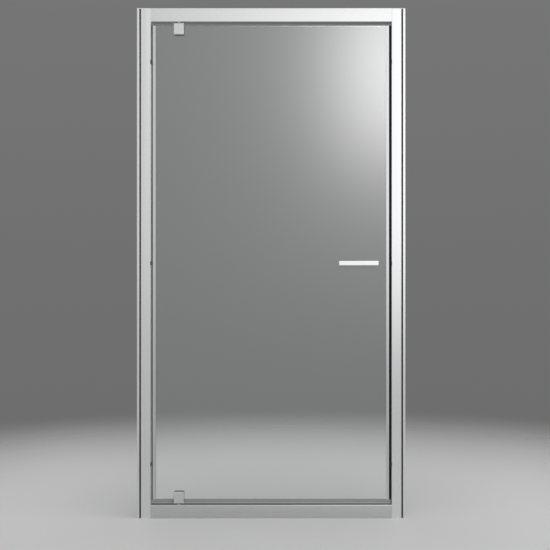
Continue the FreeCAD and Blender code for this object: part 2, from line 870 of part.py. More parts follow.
def edge_clip(side, label):
    """The clip pressed on an upright edge of the glass, with an undercut slot along its outer side."""
    edge = "hinge_edge_gap" if side == LEFT else "strike_edge_gap"
    half = [
        ("-clip_leg", "-clip_half"),
        ("-clip_leg", "-half_glass"),
        ("0", "-half_glass"),
    ]
    rear = [
        ("clip_base", "-clip_slot_width / 2"),
        ("clip_base + clip_slot", "-clip_slot_width / 2"),
        ("clip_base + clip_slot", "-clip_mouth / 2"),
        ("clip_span", "-clip_mouth / 2"),
        ("clip_span", "-clip_half"),
    ]
    corners = half + [(x, f"-({y})") for x, y in reversed(half)]
    corners += [(x, f"-({y})") for x, y in reversed(rear)] + rear
    return edge_strip(side, label, edge, corners)


def edge_strip(side, label, edge, corners, bores=()):
    """An upright strip on a glass edge, drawn outwards from that edge."""
    outward = RIGHT if side == LEFT else LEFT
    turned = [(f"{outward} * ({x})", y, size) for x, y, size in bores]
    body = profile(label, sided(outward, corners), "glass_top - clip_foot", turned)
    place(body, x=f"-{side} * (reveal - {edge})", z="clip_foot")
    return piece(body, label)


def slot_foot():
    """The half outline of a strip's foot in the clip's slot, from its middle out to the clip's face."""
    half_foot = "clip_slot_width / 2 - strip_fit"
    half_neck = "clip_mouth / 2 - strip_fit"
    neck = "clip_base + clip_slot - strip_fit"
    return [
        ("clip_base + strip_fit", f"-({half_foot})"),
        (neck, f"-({half_foot})"),
        (neck, f"-({half_neck})"),
        ("clip_span", f"-({half_neck})"),
    ]


def hinge_lip():
    """The soft hollow lip that closes the gap at the hinge jamb."""
    tip = "hinge_edge_gap - lip_clearance"
    half = slot_foot() + [
        ("clip_span", "-lip_root / 2"),
        (f"(clip_span + {tip}) / 2", "-lip_waist / 2"),
        (tip, "-lip_tip / 2"),
    ]
    corners = half + [(x, f"-({y})") for x, y in reversed(half)]
    bore = ("clip_span + lip_bore_inset", "0", "lip_bore")
    return edge_strip(LEFT, "hinge_edge_lip", "hinge_edge_gap", corners, [bore])


def strike_magnet():
    """The magnet strip on the strike edge, keyed in the clip's slot; it swings clear of the screw covers."""
    half = slot_foot() + [
        ("clip_span", "-magnet_depth / 2"),
        ("magnet_face - glass_right", "-magnet_depth / 2"),
    ]
    corners = half + [(x, f"-({y})") for x, y in reversed(half)]
    return edge_strip(RIGHT, "strike_edge_magnet", "strike_edge_gap", corners)


def drip_seal(label, start, end):
    """One length of the seal under the glass: a clip with two fins over the sill."""
    body = new_body(label)
    section = sketch_on(body, "YZ_Plane", start)
    half_clip = "half_glass + drip_skin"
    top = "clip_foot"
    base = "glass_bottom - drip_base"
    draw_loop(section, [
        (f"-({half_clip})", top),
        (f"-({half_clip})", base),
        ("-drip_root - drip_fin", base),
        ("-drip_spread_out - drip_fin", "drip_tip"),
        ("-drip_spread_out", "drip_tip"),
        ("-drip_root", f"{base} - drip_fin"),
        ("drip_root", f"{base} - drip_fin"),
        ("drip_spread_in", "drip_tip"),
        ("drip_spread_in + drip_fin", "drip_tip"),
        ("drip_root + drip_fin", base),
        (half_clip, base),
        (half_clip, top),
        ("half_glass", top),
        ("half_glass", "glass_bottom"),
        ("-half_glass", "glass_bottom"),
        ("-half_glass", top),
    ])
    pad(body, section, f"({end}) - ({start})")
    return piece(body, label)


def drip_seals():
    """The seal either side of the bottom pivot block, under the edge clips and out to the jambs."""
    reach = "block_width / 2 + drip_block_gap"
    drip_seal("drip_seal_hinge_side", "drip_jamb_gap - reveal", f"pivot_x - ({reach})")
    drip_seal("drip_seal_strike_side", f"pivot_x + ({reach})", "magnet_face")


def pivot_plate(body, face, x_half, low, high, near, depth):
    """Raise an upright plate on one side of the glass; near is its distance from the middle plane."""
    sketch = sketch_on(body, "XZ_Plane", f"-1 * {face} * ({near})")
    draw_loop(sketch, rectangle(f"-({x_half})", x_half, low, high))
    pad(body, sketch, depth, backwards=face == INNER)


def clamp_places():
    """The two clamp screws of a pivot, seen from outside, with the rail side of the block at zero."""
    return [(f"{sign}clamp_spacing / 2", "-clamp_row") for sign in ("-", "")]


def pivot_block(end, face, label):
    """Half of a pivot clamp, bevelled, with a pocket that grips the pin's base."""
    body = new_body(label)
    half = "block_width / 2"
    pivot_plate(body, face, half, "-block_height", "0", "block_inner", "block_depth")
    skin = f"{face} * block_outer"
    edges = [
        ("0", skin, "0"),
        ("0", skin, "-block_height"),
        (half, skin, "-block_height / 2"),
        (f"-{half}", skin, "-block_height / 2"),
    ]
    soften(body, "Chamfer", edges, Size="block_bevel")
    seat = sketch_on(body, "XZ_Plane", f"-1 * {face} * block_inner")
    reach = "pin_base_length / 2 + pin_base_fit"
    draw_loop(seat, rectangle(f"-({reach})", reach,
                              "-base_lip - pin_base_height - pin_base_fit", "-base_lip"))
    pocket(body, seat, "pin_base_depth / 2 + pin_base_fit - block_inner", backwards=face == OUTER)
    notch = sketch_on(body, "XY_Plane")
    draw_circle(notch, "0", "0", "pin_diameter + 2 * pin_relief")
    pocket(body, notch, "base_lip")
    holes = sketch_on(body, "XZ_Plane", f"-1 * {face} * block_inner")
    for x, z in clamp_places():
        draw_bore(holes, x, z, "clamp_bore" if face == OUTER else "clamp_hole")
    deep = "clamp_thread + gasket" if face == OUTER else "block_depth"
    pocket(body, holes, deep, backwards=face == OUTER)
    if face == INNER:
        heads = sketch_on(body, "XZ_Plane", "-block_outer")
        for x, z in clamp_places():
            draw_circle(heads, x, z, "clamp_counterbore")
        pocket(body, heads, "clamp_head_height + clamp_head_sink", backwards=True)
    return place_on_pivot(body, end, label)


def place_on_pivot(body, end, label):
    """Set a pivot piece under the head rail, or turned over above the sill."""
    if end == "top":
        place(body, x="pivot_x", z="block_top")
    else:
        place(body, x="pivot_x", z="block_bottom", turn=TURN_OVER)
    return piece(body, label)


def pivot_gasket(end, face, label):
    """The sheet between a pivot block and the glass."""
    body = new_body(label)
    pivot_plate(body, face, "block_width / 2 - gasket_inset", "gasket_inset - block_height",
                "-block_overhang", "half_glass", "gasket")
    holes = sketch_on(body, "XZ_Plane", f"-1 * {face} * half_glass")
    for x, z in clamp_places():
        draw_bore(holes, x, z, "clamp_hole")
    pocket(body, holes, "gasket", through=True)
    return place_on_pivot(body, end, label)


def pivot_pin(end):
    """The steel pin on its base, which both block halves grip."""
    label = f"{end}_pivot_pin"
    body = new_body(label)
    base = sketch_on(body, "XY_Plane", "-base_lip")
    draw_loop(base, rectangle("-pin_base_length / 2", "pin_base_length / 2",
                              "-pin_base_depth / 2", "pin_base_depth / 2"))
    pad(body, base, "pin_base_height", backwards=True)
    shaft = sketch_on(body, "XY_Plane", "-base_lip")
    draw_circle(shaft, "0", "0", "pin_diameter")
    pad(body, shaft, "base_lip + rail_gap + pin_engage")
    tip = [("pin_diameter / 2", "0", "rail_gap + pin_engage")]
    soften(body, "Chamfer", tip, Size="pin_chamfer")
    return place_on_pivot(body, end, label)


def pivot(end):
    """One pivot of the leaf: clamp halves, gaskets, pin, screws and sleeves."""
    for face, where in ((OUTER, "outer"), (INNER, "inner")):
        pivot_block(end, face, f"{end}_pivot_{where}_block")
        pivot_gasket(end, face, f"{end}_pivot_{where}_gasket")
    pivot_pin(end)
    level = "block_top - clamp_row" if end == "top" else "block_bottom + clamp_row"
    spots = [f"pivot_x {sign} clamp_spacing / 2" for sign in "-+"]
    reach = "clamp_bearing + block_inner + clamp_thread"
    master = socket_screw(f"{end}_clamp_screws", "clamp_screw", reach, "clamp_head", "clamp_head_height")
    facing_inside = away_from_glass(INNER)
    copies(f"{end}_clamp_screws", master, [(x, "clamp_bearing", level) for x in spots], facing_inside)
    sleeve = tube(f"{end}_clamp_sleeve", "sleeve_outer", "clamp_hole", "glass_thickness")
    copies(f"{end}_clamp_sleeves", sleeve, [(x, "-half_glass", level) for x in spots], facing_inside)


def handle_post_places():
    """The x of the two handle posts."""
    return [f"handle_x {sign} post_spacing / 2" for sign in "-+"]


def handle_bar(face, label):
    """One flat bar with softened edges and sockets for the posts."""
    body = new_body(label)
    sketch = sketch_on(body, "XZ_Plane", f"-1 * {face} * handle_back")
    half_long, half_high = "handle_length / 2", "handle_height / 2"
    draw_loop(sketch, rectangle(f"-{half_long}", half_long, f"-{half_high}", half_high))
    pad(body, sketch, "handle_thickness", backwards=face == INNER)
    front = f"{face} * (handle_back + handle_thickness)"
    edges = [("0", front, half_high), ("0", front, f"-{half_high}"),
             (half_long, front, "0"), (f"-{half_long}", front, "0")]
    soften(body, "Fillet", edges, Radius="handle_round")
    sockets = sketch_on(body, "XZ_Plane", f"-1 * {face} * handle_back")
    for sign in (-1, 1):
        draw_loop(sockets, facets(f"{sign} * post_spacing / 2", "0",
                                  "spigot_diameter + 2 * socket_fit", HEAD_SIDES))
    pocket(body, sockets, "socket_depth", backwards=face == OUTER)
    place(body, x="handle_x", z="handle_level")
    return piece(body, label)


def away_from_glass(face):
    """The turn that points a piece on Z away from the glass."""
    return Rotation(Vector(0, 0, 1), Vector(0, face, 0))


def handle_posts(face, label):
    """The two posts between the glass and one bar, each with a hexagon spigot and a bore for its stud."""
    length = "(handle_back - post_foot)"
    master = new_body(f"{label}_one")
    shaft = sketch_on(master, "XY_Plane")
    draw_circle(shaft, "0", "0", "post_diameter")
    pad(master, shaft, length)
    spigot = sketch_on(master, "XY_Plane", length)
    draw_loop(spigot, facets("0", "0", "spigot_diameter", HEAD_SIDES))
    pad(master, spigot, "spigot_length")
    bore = sketch_on(master, "XY_Plane")
    draw_bore(bore, "0", "0", "stud_bore")
    pocket(master, bore, "stud_bore_depth", backwards=True)
    spots = [(x, f"{face} * post_foot", "handle_level") for x in handle_post_places()]
    copies(label, master, spots, away_from_glass(face))


def handle_rings(face, label):
    """The gaskets between the posts and the glass."""
    master = tube(f"{label}_one", "handle_gasket_outer", "stud_bore", "handle_gasket", TURNED_SIDES)
    spots = [(x, f"{face} * half_glass", "handle_level") for x in handle_post_places()]
    copies(label, master, spots, away_from_glass(face))


def handle():
    """The pull bar on each side of the glass and the studs that join them."""
    for face, where in ((OUTER, "outer"), (INNER, "inner")):
        handle_bar(face, f"handle_{where}_bar")
        handle_posts(face, f"handle_{where}_posts")
        handle_rings(face, f"handle_{where}_gaskets")
    stud = new_body("handle_stud")
    rod = sketch_on(stud, "XY_Plane")
    draw_loop(rod, facets("0", "0", "stud_diameter", BORE_SIDES))
    pad(stud, rod, "2 * (post_foot + stud_reach)")
    inwards = away_from_glass(INNER)
    spots = [(x, "-post_foot - stud_reach", "handle_level") for x in handle_post_places()]
    copies("handle_studs", stud, spots, inwards)
    sleeve = tube("handle_sleeve", "sleeve_outer", "stud_bore", "glass_thickness")
    spots = [(x, "-half_glass", "handle_level") for x in handle_post_places()]
    copies("handle_sleeves", sleeve, spots, inwards)


def frame():
    """Everything that stays fixed to the walls."""
    towards_left = Rotation(Vector(0, 0, 1), Vector(-1, 0, 0))
    towards_right = Rotation(Vector(0, 0, 1), Vector(1, 0, 0))
    sides = ((LEFT, "left", towards_left, towards_right), (RIGHT, "right", towards_right, towards_left))
    for side, where, outward, inward in sides:
        wall_profile(side, f"wall_profile_{where}")
        wall_seal(side, f"wall_seal_{where}")
        jamb(side, f"jamb_{where}")
        jamb_cap(side, f"jamb_cap_{where}")
        corner_screws(side, f"corner_screws_{where}", outward)
        adjusters(side, where, inward)
    head_rail()
    sill_rail()
    pivot_seat("head")
    pivot_seat("sill")
    pivot_washer("sill_pivot_washer", "sill_face + bush_flange_height")
    jamb_magnet()


def leaf():
    """Everything that swings with the glass."""
    door_glass()
    edge_clip(LEFT, "hinge_edge_clip")
    hinge_lip()
    edge_clip(RIGHT, "strike_edge_clip")
    strike_magnet()
    drip_seals()
    pivot("top")
    pivot("bottom")
    pivot_washer("head_pivot_washer", "block_top")
    handle()


def write_pieces():
    """Check every object and write each piece to its own file."""
    doc.recompute()
    faulty = [item.Label for item in doc.Objects if {"Invalid", "Error"} & set(item.State)]
    faulty += [item.Label for item in pieces if item.Shape.isNull() or not item.Shape.isValid()]
    if faulty:
        raise RuntimeError(f"faulty objects: {faulty}")
    os.makedirs("parts", exist_ok=True)
    for item in pieces:
        item.Shape.exportStep(f"parts/{item.Label}.step")
    print(f"{len(pieces)} pieces, {sum(len(item.Shape.Solids) for item in pieces)} solids")


frame()
leaf()
write_pieces()
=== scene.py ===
"""Looks of a framed pivot shower door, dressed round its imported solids.

X runs left to right seen from outside, Y from outside to inside, Z up. The origin is the middle of the
sill's underside. All sizes are in metres.
"""
import logging
import math
from dataclasses import dataclass, replace
from enum import Enum

import bmesh
import bpy
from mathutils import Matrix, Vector


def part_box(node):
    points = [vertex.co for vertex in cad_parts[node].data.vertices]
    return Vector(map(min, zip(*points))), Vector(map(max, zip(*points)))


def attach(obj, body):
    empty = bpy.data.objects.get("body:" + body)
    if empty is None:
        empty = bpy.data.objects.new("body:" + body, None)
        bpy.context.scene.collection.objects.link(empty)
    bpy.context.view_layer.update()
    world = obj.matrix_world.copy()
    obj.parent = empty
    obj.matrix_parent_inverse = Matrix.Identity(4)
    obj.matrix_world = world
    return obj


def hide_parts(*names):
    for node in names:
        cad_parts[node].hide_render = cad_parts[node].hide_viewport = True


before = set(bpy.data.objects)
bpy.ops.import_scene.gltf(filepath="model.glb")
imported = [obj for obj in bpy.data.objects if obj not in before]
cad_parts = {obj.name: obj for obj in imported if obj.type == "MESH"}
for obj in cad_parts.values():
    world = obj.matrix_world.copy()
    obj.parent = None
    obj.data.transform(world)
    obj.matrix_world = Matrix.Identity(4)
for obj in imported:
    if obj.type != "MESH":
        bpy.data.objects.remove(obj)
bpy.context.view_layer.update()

LOG = logging.getLogger("shower_door")

Socket = bpy.types.NodeSocket
Colour = tuple[float, float, float]
Place = tuple[float, float, float]
Span = tuple[float, float]
Corners = tuple[Vector, Vector]
Pattern = tuple[Socket, Socket, Socket]
Source = Socket | float | Colour

WHITE = (1.0, 1.0, 1.0)
MIDDLE = 0.5


class Axis(Enum):
    """A direction of the door's own frame."""

    X = 0
    Y = 1
    Z = 2


class Facing(Enum):
    """Which way the axis of a screw or a ring points."""

    LEFT = (-1.0, 0.0, 0.0)
    RIGHT = (1.0, 0.0, 0.0)
    OUTWARDS = (0.0, -1.0, 0.0)
    INWARDS = (0.0, 1.0, 0.0)
    DOWN = (0.0, 0.0, -1.0)
    UP = (0.0, 0.0, 1.0)

    def span(self, low: Vector, high: Vector) -> Span:
        """Returns how long a box is along this axis, and how wide it is across it."""
        size = high - low
        along = next(axis.value for axis in Axis if self.value[axis.value])
        return size[along], max(size[axis.value] for axis in Axis if axis.value != along)


class Body(Enum):
    """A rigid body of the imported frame."""

    FRAME = "frame"
    DOOR = "door"


@dataclass(frozen=True)
class Grain:
    """One layer of noise: how fine it is, and how many finer octaves it has."""

    scale: float
    detail: float


class Wiring:
    """A node tree with short calls that add nodes and join them."""

    def __init__(self, tree: bpy.types.NodeTree) -> None:
        """Keeps the tree that the calls work on."""
        self.tree = tree

    def add(self, kind: str, **settings: object) -> bpy.types.Node:
        """Adds one node.

        Args:
            kind: Blender's name for the type of node.
            settings: properties of the node to set.

        Returns:
            The new node.
        """
        node = self.tree.nodes.new(kind)
        for name, setting in settings.items():
            setattr(node, name, setting)
        return node

    def put(self, socket: Socket, source: Source) -> None:
        """Joins a socket to another one, or sets it to a plain value."""
        if isinstance(source, Socket):
            self.tree.links.new(source, socket)
        elif isinstance(source, tuple) and socket.type == "RGBA":
            socket.default_value = (*source, 1.0)
        else:
            socket.default_value = source

    def math(self, operation: str, first: Source, second: Source = 0.0) -> Socket:
        """Adds a Math node and returns its result."""
        node = self.add("ShaderNodeMath", operation=operation)
        self.put(node.inputs[0], first)
        self.put(node.inputs[1], second)
        return node.outputs[0]

    def remap(self, source: Source, low: float, high: float, start: float, end: float) -> Socket:
        """Maps low to high smoothly onto start to end, and returns the result."""
        node = self.add("ShaderNodeMapRange", interpolation_type="SMOOTHSTEP")
        for socket, value in zip(node.inputs[:5], (source, low, high, start, end)):
            self.put(socket, value)
        return node.outputs[0]

    def blend(self, share: Source, first: Source, second: Source, way: str = "MIX") -> Socket:
        """Mixes two colours and returns the result."""
        node = self.add("ShaderNodeMix", data_type="RGBA", blend_type=way)
        self.put(node.inputs["Factor"], share)
        self.put(node.inputs["A"], first)
        self.put(node.inputs["B"], second)
        return node.outputs["Result"]

    def noise(self, vector: Socket, grain: Grain) -> Socket:
        """Adds a Noise texture and returns its value."""
        node = self.add("ShaderNodeTexNoise")
        self.put(node.inputs["Vector"], vector)
        self.put(node.inputs["Scale"], grain.scale)
        self.put(node.inputs["Detail"], grain.detail)
        return node.outputs["Fac"]

    def stretched(self, scale: tuple[float, float, float]) -> Socket:
        """Returns the object's own coordinates, scaled along each axis."""
        node = self.add("ShaderNodeMapping")
        self.put(node.inputs["Vector"], self.add("ShaderNodeTexCoord").outputs["Object"])
        node.inputs["Scale"].default_value = scale
        return node.outputs["Vector"]

    def parts(self, vector: Socket) -> bpy.types.bpy_prop_collection:
        """Returns the X, Y and Z of a vector as separate sockets."""
        node = self.add("ShaderNodeSeparateXYZ")
        self.put(node.inputs[0], vector)
        return node.outputs

    def let_through(self, shader: bpy.types.Node, share: Socket, tint: Colour = WHITE) -> None:
        """Ends a material in its shader, with a share of the light let straight through.

        Args:
            shader: the material's shader.
            share: how much passes.
            tint: what colour it takes.
        """
        clear = self.add("ShaderNodeBsdfTransparent")
        self.put(clear.inputs["Color"], tint)
        mix = self.add("ShaderNodeMixShader")
        self.put(mix.inputs["Fac"], share)
        self.put(mix.inputs[1], shader.outputs["BSDF"])
        self.put(mix.inputs[2], clear.outputs["BSDF"])
        self.put(self.tree.nodes["Material Output"].inputs["Surface"], mix.outputs["Shader"])


def blank(name: str) -> tuple[bpy.types.Material, Wiring, bpy.types.Node]:
    """Makes a material to be filled in.

    Args:
        name: what it is called.

    Returns:
        The material, its wiring and its shader.
    """
    made = bpy.data.materials.new(name)
    made.use_nodes = True
    return made, Wiring(made.node_tree), made.node_tree.nodes["Principled BSDF"]


EFFECT_INPUTS = {"Vector": "Vector", "Colour": "Color", "Roughness": "Float", "Amount": "Float"}
EFFECT_OUTPUTS = {"Colour": "Color", "Roughness": "Float", "Height": "Float"}


class Effect(Enum):
    """A surface effect that several finishes share, built once as a node group."""

    DRAWN = "drawn_lines"
    HANDLED = "handling_marks"
    MOULDED = "moulded_skin"

    def tree(self) -> bpy.types.NodeTree:
        """Returns the effect's node group, building it the first time."""
        return bpy.data.node_groups.get(self.value) or self.build()

    def build(self) -> bpy.types.NodeTree:
        """Makes the node group with its named sockets and returns it."""
        tree = bpy.data.node_groups.new(self.value, "ShaderNodeTree")
        for way, sockets in (("INPUT", EFFECT_INPUTS), ("OUTPUT", EFFECT_OUTPUTS)):
            for name, kind in sockets.items():
                tree.interface.new_socket(name, in_out=way, socket_type=f"NodeSocket{kind}")
        wiring = Wiring(tree)
        given = wiring.add("NodeGroupInput").outputs
        pattern = {Effect.DRAWN: drawn, Effect.HANDLED: handled, Effect.MOULDED: moulded}[self]
        tone, gloss, height = pattern(wiring, given["Vector"])
        result = wiring.add("NodeGroupOutput").inputs
        swing = wiring.math("MULTIPLY", given["Amount"], wiring.math("SUBTRACT", tone, MIDDLE))
        light = wiring.math("ADD", 1.0, swing)
        wiring.put(result["Colour"], wiring.blend(1.0, given["Colour"], light, "MULTIPLY"))
        spread = wiring.math("MULTIPLY", given["Amount"], wiring.math("SUBTRACT", gloss, MIDDLE))
        wiring.put(result["Roughness"], wiring.math("ADD", given["Roughness"], spread))
        wiring.put(result["Height"], height)
        return tree


FINE_LINES = Grain(scale=1.0, detail=2.0)
BROAD_LINES = Grain(scale=0.16, detail=1.0)
FINE_SHARE = 0.5
WIPED_PATCHES = Grain(scale=14.0, detail=5.0)
PATCH_REACH = (0.35, 0.7)
PATCH_GLOSS = (0.35, 0.9)
STREAKS = Grain(scale=160.0, detail=2.0)
SKIN = Grain(scale=2400.0, detail=3.0)
CLOUDS = Grain(scale=45.0, detail=3.0)


def drawn(wiring: Wiring, vector: Socket) -> Pattern:
    """Lines that an extrusion die leaves along a profile: tone, gloss and height."""
    fine = wiring.noise(vector, FINE_LINES)
    broad = wiring.noise(vector, BROAD_LINES)
    fine_part = wiring.math("MULTIPLY", fine, FINE_SHARE)
    broad_part = wiring.math("MULTIPLY", broad, 1.0 - FINE_SHARE)
    return wiring.math("ADD", fine_part, broad_part), fine, fine


def handled(wiring: Wiring, vector: Socket) -> Pattern:
    """Faint patches that wiping and water leave on a polished face: tone, gloss and height."""
    patches = wiring.noise(vector, WIPED_PATCHES)
    streaks = wiring.noise(vector, STREAKS)
    gloss = wiring.remap(patches, *PATCH_REACH, *PATCH_GLOSS)
    return patches, gloss, streaks


def moulded(wiring: Wiring, vector: Socket) -> Pattern:
    """The matt skin of a moulded or extruded plastic: tone, gloss and height."""
    grain = wiring.noise(vector, SKIN)
    clouds = wiring.noise(vector, CLOUDS)
    return clouds, grain, grain


class Run(Enum):
    """How a pattern is stretched over a piece, as cycles per metre along X, Y and Z."""

    EVEN = (1.0, 1.0, 1.0)
    UPRIGHT = (1700.0, 1700.0, 2.0)
    LEVEL = (2.0, 1700.0, 1700.0)
    TURNED = (90.0, 90.0, 2600.0)

    def axis(self) -> Axis:
        """Returns the axis that the pattern's lines follow."""
        return Axis(self.value.index(min(self.value)))


@dataclass(frozen=True)
class Finish:
    """The finish of an opaque piece.

    Attributes:
        name: what its material is called.
        slot: the record's slot that it belongs to; not used.
        colour: its colour before the effect.
        roughness: its roughness before the effect.
        metallic: 1 for bare metal, 0 for plastic and rubber.
        effect: the pattern that varies it.
        amount: how far the pattern changes colour and roughness.
        relief: how deep the pattern is.
        run: how the pattern is stretched.
        specular: how strong the gloss of a plastic is.
        brushed: how far lines spread what a metal mirrors.
    """

    name: str
    slot: str
    colour: Colour
    roughness: float
    metallic: float
    effect: Effect
    amount: float
    relief: float
    run: Run = Run.EVEN
    specular: float = 0.5
    brushed: float = 0.0

    def material(self) -> bpy.types.Material:
        """Returns the finish's material, building it the first time."""
        return bpy.data.materials.get(self.name) or self.build()

    def tone(self, wiring: Wiring) -> Source:
        """Returns the colour that the effect starts from."""
        return self.colour

    def build(self) -> bpy.types.Material:
        """Makes the material.

        Returns:
            A Principled material whose colour, roughness and bump come from the finish's effect.
        """
        made, wiring, shader = blank(self.name)
        effect = wiring.add("ShaderNodeGroup", node_tree=self.effect.tree())
        wiring.put(effect.inputs["Vector"], wiring.stretched(self.run.value))
        wiring.put(effect.inputs["Colour"], self.tone(wiring))
        wiring.put(effect.inputs["Roughness"], self.roughness)
        wiring.put(effect.inputs["Amount"], self.amount)
        wiring.put(shader.inputs["Base Color"], effect.outputs["Colour"])
        wiring.put(shader.inputs["Roughness"], effect.outputs["Roughness"])
        bump = wiring.add("ShaderNodeBump")
        wiring.put(bump.inputs["Distance"], self.relief)
        wiring.put(bump.inputs["Height"], effect.outputs["Height"])
        wiring.put(shader.inputs["Normal"], bump.outputs["Normal"])
        wiring.put(shader.inputs["Metallic"], self.metallic)
        wiring.put(shader.inputs["Specular IOR Level"], self.specular)
        if self.brushed:
            wiring.put(shader.inputs["Anisotropic"], self.brushed)
            across = wiring.add("ShaderNodeTangent", direction_type="RADIAL", axis=self.run.axis().name)
            wiring.put(shader.inputs["Tangent"], across.outputs["Tangent"])
        return made


@dataclass(frozen=True)
class ShadeTippedSeal(Finish):
    """A seal whose wiping tips are painted dark as painted shade, so that the sill's top face mirrors them
    as the dark shadow line under the seal.

    Attributes:
        tip: the dark colour painted on the tips, as painted shade.
        shade_tip_top: the height that the painted shade reaches up to.
        shade_tip_blur: how far the painted shade runs into the seal's own colour.
    """

    # Painted shade: the tips are coloured dark so that the sill mirrors a shadow line.
    tip: Colour = (0.012, 0.012, 0.013)
    shade_tip_top: float = 0.0
    shade_tip_blur: float = 0.0002

    def tone(self, wiring: Wiring) -> Socket:
        """Returns the painted shade's dark colour low down, and the seal's own colour above."""
        height = wiring.parts(wiring.stretched(Run.EVEN.value))["Z"]
        start, end = self.shade_tip_top - self.shade_tip_blur, self.shade_tip_top + self.shade_tip_blur
        return wiring.blend(wiring.remap(height, start, end, 0.0, 1.0), self.tip, self.colour)


@dataclass(frozen=True)
class ClearGlass:
    """Toughened clear glass with ground edges, and the faint film that wiping leaves on it.

    Attributes:
        slot: the record's slot that it belongs to.
        colour: its faint tint.
        ior: how far it bends light.
        ground_width: how wide the ground border is.
        ground_roughness: how matt the border is.
        ground_colour: the border's tint.
        film: how much film there is.
        film_roughness: how far the film spreads light.
    """

    slot: str = "clear_glass"
    colour: Colour = (0.965, 0.985, 0.978)
    ior: float = 1.5
    ground_width: float = 0.0012
    ground_roughness: float = 0.35
    ground_colour: Colour = (0.62, 0.80, 0.74)
    film: float = 0.1
    film_roughness: float = 0.26

    def material(self, low: Vector, high: Vector) -> bpy.types.Material:
        """Makes the glass of one pane.

        Args:
            low: the pane's lowest corner.
            high: the pane's highest corner.

        Returns:
            A glass material that lets lamp light through, rougher and greener along the pane's border.
        """
        made, wiring, shader = blank(self.slot)
        wiring.put(shader.inputs["Transmission Weight"], 1.0)
        wiring.put(shader.inputs["IOR"], self.ior)
        wiring.put(shader.inputs["Coat Weight"], self.film)
        wiring.put(shader.inputs["Coat Roughness"], self.film_roughness)
        place = wiring.parts(wiring.stretched(Run.EVEN.value))
        sides = []
        for axis in (Axis.X, Axis.Z):
            middle = (low[axis.value] + high[axis.value]) / 2
            half = (high[axis.value] - low[axis.value]) / 2
            offset = wiring.math("ABSOLUTE", wiring.math("SUBTRACT", place[axis.value], middle))
            sides.append(wiring.math("GREATER_THAN", offset, half - self.ground_width))
        border = wiring.math("MAXIMUM", *sides)
        wiring.put(shader.inputs["Roughness"], wiring.math("MULTIPLY", border, self.ground_roughness))
        wiring.put(shader.inputs["Base Color"], wiring.blend(border, self.colour, self.ground_colour))
        path = wiring.add("ShaderNodeLightPath")
        wiring.let_through(shader, path.outputs["Is Shadow Ray"], self.colour)
        return made


SILVER = Finish(
    "drawn_silver_upright", "frame_aluminium", (0.80, 0.805, 0.81), roughness=0.28, metallic=1.0,
    effect=Effect.DRAWN, amount=0.07, relief=0.000002, run=Run.UPRIGHT, brushed=0.6)
SILVER_LEVEL = replace(SILVER, name="drawn_silver_level", colour=(0.78, 0.785, 0.79), run=Run.LEVEL)
# A darker copy of the same drawn aluminium for the sill: painted shade, not a different metal.
SILVER_SILL_SHADED = replace(SILVER_LEVEL, name="drawn_silver_sill_painted_shade", colour=(0.60, 0.605, 0.61))
SILVER_TRIM = replace(SILVER, name="drawn_silver_trim", colour=(0.66, 0.665, 0.67))
CHROME = Finish(
    "polished_chrome", "hardware_chrome", (0.80, 0.805, 0.81), roughness=0.12, metallic=1.0,
    effect=Effect.HANDLED, amount=0.08, relief=0.000002)
SATIN = replace(CHROME, name="satin_chrome", colour=(0.70, 0.705, 0.71), roughness=0.2)
SEAL = ShadeTippedSeal(
    "clear_seal", "seal_plastic", (0.30, 0.31, 0.31), roughness=0.30, metallic=0.0,
    effect=Effect.DRAWN, amount=0.08, relief=0.000005, run=Run.LEVEL)
RUBBER = Finish(
    "black_rubber", "gasket_rubber", (0.020, 0.020, 0.021), roughness=0.65, metallic=0.0,
    effect=Effect.MOULDED, amount=0.3, relief=0.00003, specular=0.3)
MAGNET = replace(
    RUBBER, name="black_magnet", slot="magnet_strip", colour=(0.010, 0.010, 0.011), specular=0.2)
LIP = Finish(
    "soft_grey_lip", "soft_lip", (0.20, 0.205, 0.205), roughness=0.42, metallic=0.0,
    effect=Effect.MOULDED, amount=0.2, relief=0.00002)
COVER = replace(LIP, name="grey_cover", slot="cover_plastic", colour=(0.085, 0.086, 0.088), amount=0.25)
CAP = replace(LIP, name="pale_cap", slot="cap_plastic", colour=(0.86, 0.86, 0.85), amount=0.12)
ACETAL = replace(
    LIP, name="white_acetal", slot="bush_acetal", colour=(0.82, 0.81, 0.78), roughness=0.32, amount=0.12)
NYLON = replace(
    LIP, name="black_nylon", slot="housing_nylon", colour=(0.035, 0.036, 0.038), roughness=0.5, amount=0.4)
STEEL = Finish(
    "screw_steel", "screw_steel", (0.60, 0.60, 0.59), roughness=0.26, metallic=1.0,
    effect=Effect.HANDLED, amount=0.2, relief=0.00001)
ZINC = replace(
    STEEL, name="tumbled_zinc", slot="adjuster_metal", colour=(0.52, 0.53, 0.54), roughness=0.4, amount=0.3)
PIN = Finish(
    "ground_pin", "pin_steel", (0.70, 0.70, 0.69), roughness=0.18, metallic=1.0,
    effect=Effect.DRAWN, amount=0.15, relief=0.00001, run=Run.TURNED)
GLASS = ClearGlass()

# How meshes are joined, eased, rounded and shaded: lengths in metres, angles in radians.
WELD = 1e-6
ON_BOX = 1e-5
FLAT = math.radians(1)
CREASE = math.radians(28)
EASE_STEPS = 3
FACE_WEIGHT = 100
ROUND_STEPS = 4
ROUND_PROFILE = 0.5


def paint(mesh: bpy.types.Mesh, material: bpy.types.Material) -> None:
    """Gives a mesh one material in place of those that it has."""
    mesh.materials.clear()
    mesh.materials.append(material)


def dress_with(material: bpy.types.Material, name: str) -> None:
    """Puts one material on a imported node."""
    paint(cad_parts[name].data, material)
    LOG.info("dressed %s in %s", name, material.name)


def dress(finish: Finish, *nodes: str) -> None:
    """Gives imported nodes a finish.

    Args:
        finish: what they are finished with.
        nodes: their names.
    """
    for name in nodes:
        dress_with(finish.material(), name)


def placed(name: str, data: bpy.types.ID) -> bpy.types.Object:
    """Adds an object to the scene and returns it."""
    item = bpy.data.objects.new(name, data)
    bpy.context.scene.collection.objects.link(item)
    return item


